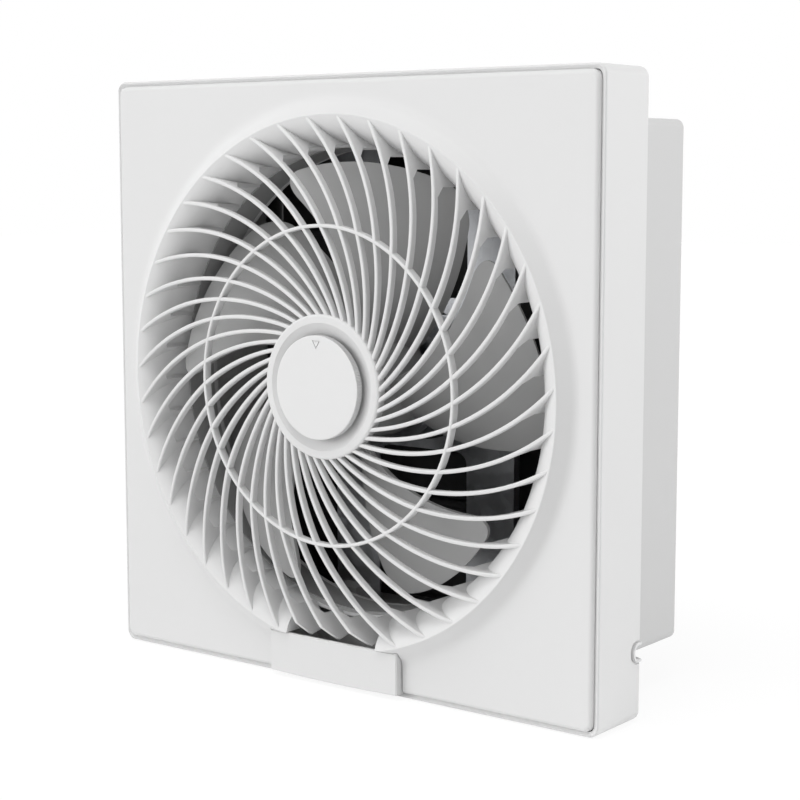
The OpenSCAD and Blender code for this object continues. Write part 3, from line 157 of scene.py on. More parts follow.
@dataclass(frozen=True)
class Finish:
    """A finish: the record's slot that it belongs to, its colour and its roughness."""

    slot: str
    colour: Colour
    roughness: float

    def material(self) -> bpy.types.Material:
        """Finds this finish's material, which is made on first use.

        Returns:
            The material.
        """
        name = f"{type(self).__name__}_{self.slot}".lower()
        found = bpy.data.materials.get(name)
        if found:
            return found
        made = bpy.data.materials.new(name)
        made.use_nodes = True
        net = Net(made.node_tree)
        where = net.add("ShaderNodeTexCoord", output="Object")
        sockets = {"Roughness": self.roughness, **self.sockets(net, where)}
        shader = net.add("ShaderNodeBsdfPrincipled", inputs=sockets)
        net.ends("ShaderNodeOutputMaterial", {"Surface": shader})
        made.diffuse_color = (*self.colour, 1.0)
        return made

    def sockets(self, net: Net, where: Wire) -> dict:
        """Works out the shader's sockets. Each finish has its own.

        Args:
            net: the material's tree.
            where: the Object coordinates.

        Returns:
            A value or a Wire for each socket, by name.
        """
        raise NotImplementedError

    def noise(self, net: Net, where: Wire, size_mm: float, detail: float = 2.0) -> Wire:
        """Returns noise from 0 to 1 whose lumps are about size_mm across."""
        return net.add("ShaderNodeTexNoise",
                       inputs={"Vector": where, "Scale": 1.0 / (size_mm * MM), "Detail": detail})

    def shade(self, net: Net, factor: Wire, spread: float) -> Wire:
        """Varies the finish's colour.

        Args:
            net: the material's tree.
            factor: 0 where the colour is darkest and 1 where it is lightest.
            spread: the share of the colour by which it varies.

        Returns:
            The colour.
        """
        dark = [channel * (1.0 - spread) for channel in self.colour]
        light = [min(1.0, channel * (1.0 + spread)) for channel in self.colour]
        return net.add("ShaderNodeMix", {"data_type": "RGBA"},
                       {0: factor, 6: (*dark, 1.0), 7: (*light, 1.0)}, output=2)

    def relief(self, net: Net, height: Wire, depth_mm: float, strength: float = 0.6) -> Wire:
        """Raises and sinks the surface.

        Args:
            net: the material's tree.
            height: 0 where the surface is lowest and 1 where it is highest.
            depth_mm: the height's range in millimetres.
            strength: the bump's strength.

        Returns:
            The normal.
        """
        return net.add("ShaderNodeBump",
                       inputs={"Strength": strength, "Distance": depth_mm * MM, "Height": height},
                       output="Normal")


@dataclass(frozen=True)
class Plastic(Finish):
    """Moulded plastic: the fine texture of its mould, slow flow marks and a soft gloss."""

    texture_mm: float = 0.5
    texture_depth: float = 0.012
    flow_mm: float = 60.0
    haze_mm: float = 9.0
    mottle: float = 0.012
    gloss_spread: float = 0.08
    ior: float = 1.46
    specular: float = 0.25

    def sockets(self, net: Net, where: Wire) -> dict:
        """See Finish.sockets."""
        flow = self.noise(net, where, self.flow_mm, detail=3.0)
        haze = self.noise(net, where, self.haze_mm, detail=4.0)
        skin = self.noise(net, where, self.texture_mm, detail=1.0)
        return {
            "Base Color": self.shade(net, (flow + haze) / 2.0, self.mottle),
            "Roughness": self.roughness + (haze - 0.5) * self.gloss_spread,
            "Normal": self.relief(net, skin, self.texture_depth),
            "IOR": self.ior,
            "Specular IOR Level": self.specular,
        }


@dataclass(frozen=True)
class Rubber(Finish):
    """Moulded rubber or a soft sheath: dull, with a fine grain and a little bloom."""

    grain_mm: float = 0.3
    grain_depth: float = 0.03
    bloom_mm: float = 4.0
    bloom_spread: float = 0.25
    gloss_spread: float = 0.15

    def sockets(self, net: Net, where: Wire) -> dict:
        """See Finish.sockets."""
        bloom = self.noise(net, where, self.bloom_mm, detail=4.0)
        grain = self.noise(net, where, self.grain_mm)
        return {
            "Base Color": self.shade(net, bloom, self.bloom_spread),
            "Roughness": self.roughness + (bloom - 0.5) * self.gloss_spread,
            "Normal": self.relief(net, grain, self.grain_depth),
        }


class Grain(Enum):
    """How a metal surface is worked: the stretch of its marks along X, Y and Z."""

    BRUSHED = (1.0, 1.0, 0.04)
    TURNED = (1.0, 0.04, 1.0)
    ROLLED = (0.3, 1.0, 1.0)


@dataclass(frozen=True)
class Metal(Finish):
    """Bare or plated metal with fine marks, and crystals where it is galvanised."""

    grain: Grain = Grain.BRUSHED
    mark_mm: float = 0.25
    mark_depth: float = 0.01
    mark_strength: float = 0.4
    tarnish_mm: float = 14.0
    tint_spread: float = 0.16
    gloss_spread: float = 0.2
    crystal_mm: float = 0.0
    crystal_share: float = 0.6

    def sockets(self, net: Net, where: Wire) -> dict:
        """See Finish.sockets."""
        stretched = net.add("ShaderNodeMapping", inputs={"Vector": where, "Scale": self.grain.value})
        marks = self.noise(net, stretched, self.mark_mm, detail=3.0)
        tarnish = self.noise(net, where, self.tarnish_mm, detail=4.0)
        tint = (marks + tarnish) / 2.0
        if self.crystal_mm:
            crystal = net.add("ShaderNodeTexVoronoi",
                              inputs={"Vector": where, "Scale": 1.0 / (self.crystal_mm * MM)},
                              output="Color")
            spangle = net.add("ShaderNodeSeparateColor", inputs={0: crystal})
            tint = tint * (1.0 - self.crystal_share) + spangle * self.crystal_share
        return {
            "Base Color": self.shade(net, tint, self.tint_spread),
            "Metallic": 1.0,
            "Roughness": self.roughness + (tint - 0.5) * self.gloss_spread,
            "Normal": self.relief(net, marks, self.mark_depth, self.mark_strength),
        }


@dataclass(frozen=True)
class Banded(Finish):
    """Metal in fine bands along Y: stacked sheets, or turns of wire round a core."""

    band_mm: float = 0.5
    band_depth: float = 0.08
    band_share: float = 0.6
    patina_mm: float = 5.0
    tint_spread: float = 0.35
    gloss_spread: float = 0.2
    metallic: float = 0.85

    def sockets(self, net: Net, where: Wire) -> dict:
        """See Finish.sockets."""
        depth = net.add("ShaderNodeSeparateXYZ", inputs={0: where}, output="Y")
        wave = net.maths("SINE", depth * (2.0 * math.pi / (self.band_mm * MM)))
        band = wave * 0.5 + 0.5
        patina = self.noise(net, where, self.patina_mm, detail=4.0)
        tint = band * self.band_share + patina * (1.0 - self.band_share)
        return {
            "Base Color": self.shade(net, tint, self.tint_spread),
            "Metallic": self.metallic,
            "Roughness": self.roughness + (patina - 0.5) * self.gloss_spread,
            "Normal": self.relief(net, band, self.band_depth),
        }


class Coat(Enum):
    """The finishes of the fan's pieces."""

    SHELL = Plastic("shell_white", grey(0.68), 0.46)
    KNOB = Plastic("knob_white", grey(0.70), 0.42)
    # Off-white plastic of the duct and of the pieces inside it. It is darker than the shell white as
    # painted shade, standing in for the shadow that the frame casts on the duct.
    INNER = Plastic("inner_white", grey(0.57), 0.5)
    FLAP = Plastic("flap_grey", grey(0.05), 0.6)
    BLADE = Plastic("blade_grey", grey(0.36), 0.42)
    BLACK = Plastic("black_plastic", (0.03, 0.03, 0.032), 0.5, mottle=0.1)
    TERMINAL = Plastic("terminal_blue", (0.03, 0.06, 0.2), 0.45, mottle=0.05)
    CAPACITOR = Plastic("capacitor_case", (0.62, 0.6, 0.53), 0.4)
    RUBBER = Rubber("black_rubber", (0.025, 0.025, 0.026), 0.75)
    SHEATH = Rubber("lead_sheath", (0.07, 0.07, 0.075), 0.6)
    ZINC = Metal("zinc_steel", (0.62, 0.63, 0.65), 0.32, mark_mm=0.4)
    SPRING = Metal("spring_steel", (0.5, 0.51, 0.53), 0.3)
    BRIGHT = Metal("bright_steel", (0.66, 0.67, 0.68), 0.22, grain=Grain.TURNED)
    GALVANISED = Metal("galvanised_steel", (0.56, 0.57, 0.59), 0.42, grain=Grain.ROLLED, crystal_mm=7.0)
    BRASS = Metal("brass", (0.72, 0.53, 0.25), 0.3, grain=Grain.TURNED)
    BRONZE = Metal("bronze", (0.52, 0.36, 0.18), 0.48, grain=Grain.TURNED)
    LAMINATION = Banded("lamination_steel", (0.17, 0.17, 0.18), 0.45)
    COPPER = Banded("copper_wire", (0.5, 0.2, 0.07), 0.35, band_mm=0.8)

    @property
    def slot(self) -> str:
        """The record's material slot."""
        return self.value.slot

    @property
    def material(self) -> bpy.types.Material:
        """The finish's material."""
        return self.value.material()


# ---------------------------------------------------------------- meshes


def arc(centre: Flat, radius: float, start: float, stop: float, steps: int) -> list[Flat]:
    """Points of an arc, from start to stop in degrees, both ends included."""
    turns = [math.radians(start + (stop - start) * i / steps) for i in range(steps + 1)]
    return [(centre[0] + radius * math.cos(t), centre[1] + radius * math.sin(t)) for t in turns]


def spread(low: float, high: float, count: int) -> list[float]:
    """Numbers from low to high in equal steps, both ends included."""
    return [low + (high - low) * i / count for i in range(count + 1)]


class Shell:
    """A mesh under construction, in millimetres. A ring thinner than pole_r is a single point."""

    pole_r = 1e-6

    def __init__(self) -> None:
        """Starts empty."""
        self.bm = bmesh.new()

    def skin(self, loops: Sequence[Sequence[Point]], closed: bool = False, cap: bool = False) -> "Shell":
        """Joins rings of points by quads.

        Args:
            loops: rings with as many points each. A ring of one point is a pole.
            closed: whether the last ring joins the first.
            cap: whether the first and last rings are filled.

        Returns:
            This shell.
        """
        rings = [[self.bm.verts.new(p) for p in loop] for loop in loops]
        pairs = list(zip(rings, rings[1:] + rings[:1] if closed else rings[1:]))
        for first, second in pairs:
            count = max(len(first), len(second))
            for i in range(count):
                j = (i + 1) % count
                corners = [first[i % len(first)], first[j % len(first)],
                           second[j % len(second)], second[i % len(second)]]
                self.bm.faces.new(list(dict.fromkeys(corners)))
        if cap:
            self.bm.faces.new(rings[0])
            self.bm.faces.new(reversed(rings[-1]))
        bmesh.ops.recalc_face_normals(self.bm, faces=self.bm.faces)
        return self

    def lathe(self, profile: Sequence[Flat], steps: int = 240, closed: bool = True) -> "Shell":
        """Turns a profile of radius and Y about the fan's axis.

        Args:
            profile: points of radius and Y.
            steps: the number of facets.
            closed: whether the last point joins the first.

        Returns:
            This shell.
        """
        turns = [2.0 * math.pi * i / steps for i in range(steps)]
        loops = []
        for r, y in profile:
            ring = [(r * math.cos(t), y, r * math.sin(t)) for t in turns]
            loops.append(ring if r > self.pole_r else [(0.0, y, 0.0)])
        return self.skin(loops, closed)

    def prism(self, outline: Sequence[Flat], low: float, high: float, axis: str = "y") -> "Shell":
        """Extrudes an outline.

        Args:
            outline: corners as (X, Z) for a prism along Y, or as (Y, Z) for one along X.
            low: where the prism starts.
            high: where it ends.
            axis: "x" or "y".

        Returns:
            This shell.
        """
        if axis == "y":
            ends = [[(a, depth, b) for a, b in outline] for depth in (low, high)]
        else:
            ends = [[(depth, a, b) for a, b in outline] for depth in (low, high)]
        return self.skin(ends, cap=True)

    def block(self, low: Point, high: Point) -> "Shell":
        """A box between two corners."""
        outline = [(low[0], low[2]), (high[0], low[2]), (high[0], high[2]), (low[0], high[2])]
        return self.prism(outline, low[1], high[1])

    def rod(self, centre: Flat, radius: float, low: float, high: float, steps: int = 32) -> "Shell":
        """A cylinder along Y about a centre in X and Z."""
        return self.prism(arc(centre, radius, 0.0, 360.0, steps)[:-1], low, high)

    def bevel(self, width: float, segments: int = 2, angle: float = 30.0) -> "Shell":
        """Rounds the sharp edges.

        Args:
            width: the width of the rounding.
            segments: the rounding's facets.
            angle: edges whose faces meet at more than this, in degrees, are sharp.

        Returns:
            This shell.
        """
        limit = math.radians(angle)
        edges = [e for e in self.bm.edges if len(e.link_faces) == 2 and e.calc_face_angle(0.0) > limit]
        bmesh.ops.bevel(self.bm, geom=edges, offset=width, offset_type="OFFSET", segments=segments,
                        profile=0.5, affect="EDGES", clamp_overlap=True)
        return self

    def piece(self, name: str) -> bpy.types.Object:
        """Writes the mesh, in metres, as an object at the origin, and ends this shell.

        Args:
            name: the object's name.

        Returns:
            The object.
        """
        self.bm.transform(Matrix.Scale(MM, 4))
        mesh = bpy.data.meshes.new(name)
        self.bm.to_mesh(mesh)
        self.bm.free()
        made = bpy.data.objects.new(name, mesh)
        bpy.context.scene.collection.objects.link(made)
        return made


def settle(piece: bpy.types.Object) -> bpy.types.Object:
    """Turns a piece's modifiers into its plain mesh.

    Args:
        piece: the object with live modifiers.

    Returns:
        The piece.
    """
    evaluated = piece.evaluated_get(bpy.context.evaluated_depsgraph_get())
    mesh = bpy.data.meshes.new_from_object(evaluated)
    piece.modifiers.clear()
    piece.data = mesh
    return piece


def combine(piece: bpy.types.Object, tool: Shell, operation: str = "DIFFERENCE") -> bpy.types.Object:
    """Cuts a tool out of a piece, or joins it on.

    Args:
        piece: the object that is changed.
        tool: the shell that cuts or joins. It is used up.
        operation: the Boolean modifier's operation.

    Returns:
        The piece.
    """
    other = tool.piece("tool")
    modifier = piece.modifiers.new("combine", "BOOLEAN")
    modifier.object = other
    modifier.operation = operation
    modifier.solver = "EXACT"
    settle(piece)
    bpy.data.objects.remove(other)
    return piece


def dress(piece: bpy.types.Object, coat: Coat, body: str, nodes: Iterable[str] = (),
          angle: float = 32.0) -> bpy.types.Object:
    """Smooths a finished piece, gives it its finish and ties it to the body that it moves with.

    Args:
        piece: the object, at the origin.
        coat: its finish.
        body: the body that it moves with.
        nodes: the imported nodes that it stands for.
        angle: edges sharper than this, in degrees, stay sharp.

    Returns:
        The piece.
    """
    mesh = piece.data
    mesh.materials.clear()
    mesh.materials.append(coat.material)
    mesh.polygons.foreach_set("material_index", [0] * len(mesh.polygons))
    mesh.shade_smooth()
    mesh.set_sharp_from_angle(angle=math.radians(angle))
    weighted = piece.modifiers.new("weighted", "WEIGHTED_NORMAL")
    weighted.keep_sharp = True
    weighted.weight = FACE_WEIGHT
    settle(piece)
    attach(piece, body)
    coat.slot
    if nodes:
        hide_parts(*nodes)
    LOG.info("%s: %d faces on %s", piece.name, len(piece.data.polygons), body)
    return piece


@dataclass(frozen=True)
class Softened:
    """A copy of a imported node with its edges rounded, which stands for the node.

    Args:
        node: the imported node.
        name: the copy's name.
        coat: its finish.
        width: the width of the rounding in millimetres.
        body: the body that it moves with.
        segments: the rounding's facets.
        edge_angle: edges sharper than this, in degrees, are rounded.
        flat_angle: faces that meet at less than this, in degrees, become one.
        merge: points closer than this, in metres, become one.
    """

    node: str
    name: str
    coat: Coat
    width: float
    body: str = "housing"
    segments: int = 2
    edge_angle: float = 38.0
    flat_angle: float = 0.6
    merge: float = 2e-6

    def build(self) -> None:
        """Builds the copy."""
        shell = Shell()
        mesh = shell.bm
        mesh.from_mesh(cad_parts[self.node].data)
        bmesh.ops.remove_doubles(mesh, verts=mesh.verts, dist=self.merge)
        bmesh.ops.dissolve_limit(mesh, angle_limit=math.radians(self.flat_angle), verts=mesh.verts,
                                 edges=mesh.edges)
        mesh.transform(Matrix.Scale(1.0 / MM, 4))
        shell.bevel(self.width, self.segments, self.edge_angle)
        dress(shell.piece(self.name), self.coat, self.body, [self.node])


# ---------------------------------------------------------------- Geometry Nodes


class Pattern:
    """A Geometry Nodes tree that sets copies of a piece's own mesh in a pattern."""

    name = "pattern"
    sizes: tuple[str, ...] = ()

    def __init__(self) -> None:
        """Builds the tree with its sizes, Count and Finish as named inputs."""
        self.tree = bpy.data.node_groups.new(self.name, "GeometryNodeTree")
        face = self.tree.interface
        face.new_socket("Geometry", in_out="INPUT", socket_type="NodeSocketGeometry")
        face.new_socket("Count", in_out="INPUT", socket_type="NodeSocketInt")
        face.new_socket("Finish", in_out="INPUT", socket_type="NodeSocketMaterial")
        for size in self.sizes:
            face.new_socket(size, in_out="INPUT", socket_type="NodeSocketFloat")
        face.new_socket("Geometry", in_out="OUTPUT", socket_type="NodeSocketGeometry")
        net = Net(self.tree)
        points = net.add("GeometryNodePoints", inputs={"Count": self.given(net, "Count")})
        index = net.add("GeometryNodeInputIndex")
        place, turn = self.spots(net, index)
        moved = net.add("GeometryNodeSetPosition", inputs={"Geometry": points, "Position": place})
        euler = net.add("ShaderNodeCombineXYZ", inputs={"Y": turn})
        rotation = net.add("FunctionNodeEulerToRotation", inputs={0: euler})
        copies = net.add("GeometryNodeInstanceOnPoints",
                         inputs={"Points": moved, "Instance": self.given(net, "Geometry"),
                                 "Rotation": rotation})
        solid = net.add("GeometryNodeRealizeInstances", inputs={0: copies})
        dressed = net.add("GeometryNodeSetMaterial",
                          inputs={"Geometry": solid, "Material": self.given(net, "Finish")})
        net.ends("NodeGroupOutput", {"Geometry": dressed})

    def given(self, net: Net, name: str) -> Wire:
        """Returns a named input of the tree."""
        return net.add("NodeGroupInput", output=name)

    def spots(self, net: Net, index: Wire) -> tuple[Wire, Wire]:
        """Returns the place of copy number index and its turn about Y."""
        raise NotImplementedError

    def apply(self, piece: bpy.types.Object, coat: Coat, count: int, **sizes: float) -> bpy.types.Object:
        """Repeats a piece's mesh and makes the result plain.

        Args:
            piece: the object whose mesh is repeated.
            coat: the copies' finish.
            count: the number of copies.
            sizes: the tree's other inputs, in metres and radians.

        Returns:
            The piece.
        """
        values = {"Count": count, "Finish": coat.material}
        values.update({name.capitalize(): value for name, value in sizes.items()})
        give_inputs(piece, self.tree, values)
        return settle(piece)


class Ring(Pattern):
    """Copies in a ring about the fan's axis, a step apart, the first one at a turn from X."""

    name = "ring"
    sizes = ("Step", "Turn")

    def spots(self, net: Net, index: Wire) -> tuple[Wire, Wire]:
        """See Pattern.spots."""
        angle = index * self.given(net, "Step") + self.given(net, "Turn")
        return net.add("ShaderNodeCombineXYZ"), angle * -1.0


class Corners(Pattern):
    """Copies at the corners of a rectangle about the fan's axis."""

    name = "corners"
    sizes = ("Across", "Up")

    def spots(self, net: Net, index: Wire) -> tuple[Wire, Wire]:
        """See Pattern.spots."""
        right = net.maths("MODULO", index, 2.0) * 2.0 - 1.0
        upper = net.maths("FLOOR", index / 2.0) * 2.0 - 1.0
        place = net.add("ShaderNodeCombineXYZ",
                        inputs={"X": right * self.given(net, "Across"), "Z": upper * self.given(net, "Up")})
        return place, index * 0.0


def give_inputs(piece: bpy.types.Object, tree: bpy.types.NodeTree, values: dict) -> None:
    """Adds a Geometry Nodes modifier to a piece and sets its named inputs.

    Args:
        piece: the object that gets the modifier.
        tree: the modifier's tree.
        values: a value for each input, by the input's name.
    """
    modifier = piece.modifiers.new(tree.name, "NODES")
    modifier.node_group = tree
    for item in tree.interface.items_tree:
        if item.item_type == "SOCKET" and item.in_out == "INPUT" and item.name in values:
            modifier[item.identifier] = values[item.name]


# ---------------------------------------------------------------- squares and circles


@dataclass
class Outline:
    """Matching rings of points, on squares with round corners and on circles."""

    half: float = 175.0
    corner: float = 6.0
    side_angle: float = 43.5
    side_points: int = 58
    corner_points: int = 9

    def square(self, half: float, corner: float, y: float) -> list[Point]:
        """Lays a ring of points on a square with round corners.

        Args:
            half: half of the square's width.
            corner: the radius of its corners.
            y: its depth.

        Returns:
            The ring.
        """
        reach = half - corner
        widest = math.radians(self.side_angle)
        turns = [widest * (2.0 * i / self.side_points - 1.0) for i in range(self.side_points + 1)]
        quarter = [(half, reach * math.tan(turn) / math.tan(widest)) for turn in turns]
        quarter += arc((reach, reach), corner, 0.0, 90.0, self.corner_points + 1)[1:-1]
        ring: list[Point] = []
        for cos, sin in ((1, 0), (0, 1), (-1, 0), (0, -1)):
            ring += [(x * cos - z * sin, y, x * sin + z * cos) for x, z in quarter]
        return ring

    def circle(self, radius: float, y: float) -> list[Point]:
        """A ring of points on a circle, at the angles of the square's points."""
        ring = self.square(self.half, self.corner, y)
        return [(x * radius / math.hypot(x, z), y, z * radius / math.hypot(x, z)) for x, y, z in ring]

    def rounded(self, radius: float, centre_y: float, turns: Flat, steps: int,
                taper: float = 1.0) -> list[list[Point]]:
        """Squares along a rounded outer edge.

        Args:
            radius: the rounding's radius.
            centre_y: the depth of the rounding's centre.
            turns: the angles, in degrees, at which the rounding starts and stops.
            steps: the rounding's facets.
            taper: how much the corner's radius shrinks for each millimetre that the square does.

        Returns:
            The rings, in order.
        """
        edge = arc((self.half - radius, centre_y), radius, *turns, steps)
        return [self.square(x, self.corner - taper * (self.half - x), y) for x, y in edge]


# ---------------------------------------------------------------- front panel and grille


@dataclass
class Panel(Outline):
    """The room-side panel with its raised lip, bell mouth and skirt.

    Each row of fillet, at the foot of the lip, is a radius and how far it stands out from the face.
    """

    half: float = 172.0
    corner: float = 5.5
    front: float = -45.0
    sheet: float = 2.5
    edge_r: float = 2.4
    edge_taper: float = 0.8
    face_land: float = 0.5
    face_corner: float = 3.4
    side: float = 2.9
    side_trim: float = 0.3
    side_corner: float = 5.3
    side_gap: float = 0.02
    skirt_half: float = 171.6
    skirt_corner: float = 3.5
    skirt_t: float = 2.2
    skirt_rear: float = -30.0
    skirt_trim: float = 0.4
    trim_corner: float = 3.2
    inner_corner: float = 2.0
    lip_r: float = 152.4
    lip_front: float = -52.0
    fillet: tuple[Flat, ...] = ((167.0, 0.0), (165.0, 0.01), (163.0, 0.12), (161.4, 0.4),
                                (160.1, 0.95), (158.8, 1.8))
    bead_r: float = 1.1
    bell_rim: float = 151.2
    bell_centre: float = 155.0
    bell_depth: float = 27.2
    bell_r: float = 135.0
    bell_rear: float = -25.0
    bell_wall: float = 2.0
    bell_round: float = 0.25
    bell_facets: int = 24
    back_facets: int = 14
    back_fold: float = 9.0
    back_gap: float = 1.0
    cup_half: float = 47.7
    cup_top: float = -148.0
    cup_rear: float = -42.1
    trough_top: float = -151.8
    trough_rear: float = -29.0
    drip_half: float = 33.0
    drip_top: float = -67.5
    drip_rear: float = -30.0
    cut_front: float = -54.0
    cut_low: float = -177.0

    def fit(self, piece: bpy.types.Object) -> None:
        """Dresses one piece of the panel's moulding."""
        dress(piece, Coat.SHELL, "panel", ["front_grille"])

    def bell_points(self, grow: float, steps: int) -> list[Flat]:
        """Follows the bell mouth from its rear to the bead.

        Args:
            grow: how far the points lie outside the bell's inner face.
            steps: the number of facets.

        Returns:
            Points of radius and depth.
        """
        depth = self.bell_depth - grow
        wide = self.bell_centre - self.bell_r - grow
        last = math.acos((self.bell_centre - self.bell_rim) / wide)
        return [(self.bell_centre - wide * math.cos(t), self.bell_rear - depth * math.sin(t))
                for t in spread(0.0, last, steps)]

    def flank(self) -> list[Flat]:
        """Follows the lip's flank from the panel's face up to its crest.

        Returns:
            Points of radius and depth.
        """
        foot = [(radius, self.front - rise) for radius, rise in self.fillet]
        centre = (self.bell_rim + self.bead_r, self.lip_front + self.bead_r)
        return foot + arc(centre, self.bead_r, -30.0, -125.0, 10)

    def loops(self) -> list[list[Point]]:
        """Lays the closed shell's rings from the skirt round the front to the back.

        Returns:
            The rings, in order.
        """
        edge, skirt = self.half, self.skirt_half
        side_rear = self.front + self.side
        inner = skirt - self.skirt_t
        rings = [
            self.square(inner, self.inner_corner, self.skirt_rear),
            self.square(skirt - self.skirt_trim, self.trim_corner, self.skirt_rear),
            self.square(skirt, self.skirt_corner, self.skirt_rear - self.skirt_trim),
            self.square(skirt, self.skirt_corner, side_rear + self.side_gap),
            self.square(edge - self.side_trim, self.side_corner, side_rear),
            self.square(edge, self.corner, side_rear - self.side_trim),
        ]
        rings += self.rounded(self.edge_r, self.front + self.edge_r, (0.0, -90.0), 8, self.edge_taper)
        rings.append(self.square(edge - self.edge_r - self.face_land, self.face_corner, self.front))
        bell = self.bell_points(0.0, self.bell_facets)
        rings += [self.circle(r, y) for r, y in self.flank() + bell[::-1]]
        rear = self.bell_rear + self.bell_round
        rings += [self.circle(self.bell_r + grow, rear) for grow in (self.bell_round, self.bell_wall)]
        back = self.front + self.sheet
        rings += [self.circle(r, y) for r, y in self.bell_points(self.bell_wall, self.back_facets)
                  if y > back + self.back_gap]
        return rings + [self.circle(self.lip_r - self.back_fold, back),
                        self.square(inner, self.inner_corner, back)]

    def build(self) -> None:
        """Builds the panel, with its openings for the oil cup and the drip window above it."""
        piece = Shell().skin(self.loops(), closed=True).piece("front_panel")
        openings = ((self.cup_half, self.cup_rear, self.cup_top),
                    (self.cup_half, self.trough_rear, self.trough_top),
                    (self.drip_half, self.drip_rear, self.drip_top))
        for half, rear, top in openings:
            combine(piece, Shell().block((-half, self.cut_front, self.cut_low), (half, rear, top)))
        self.fit(piece)


@dataclass
class Hub:
    """The ring in the grille's middle: a hollow cone, with a floor that holds the knob."""

    outer_r: float = 41.2
    wall: float = 2.0
    rear: float = -52.5
    crest: float = -58.7
    outer_round: float = 1.5
    inner_round: float = 0.5
    crest_r: float = 36.4
    hollow_front: float = -56.1
    hollow_r: float = 36.9
    hollow_tip: float = -56.6
    well_r: float = 27.3
    well_front: float = -54.4
    floor_front: float = -51.9
    bore_r: float = 24.05

    def shell(self) -> Shell:
        """Turns the hub about the fan's axis.

        Returns:
            The hub's shell.
        """
        inner, foot = self.outer_r - self.wall, self.well_r + self.wall
        floor_rear = self.floor_front + self.wall
        profile = [(inner, self.rear), (inner, self.hollow_front), (self.hollow_r, self.hollow_tip),
                   (foot, self.rear), (foot, floor_rear), (self.bore_r, floor_rear),
                   (self.bore_r, self.floor_front), (self.well_r, self.floor_front),
                   (self.well_r, self.well_front)]
        profile += arc((self.crest_r, self.crest + self.inner_round), self.inner_round, 205.0, 270.0, 3)
        profile += arc((self.outer_r - self.outer_round, self.crest + self.outer_round),
                       self.outer_round, -90.0, 0.0, 6)
        return Shell().lathe([*profile, (self.outer_r, self.rear)])


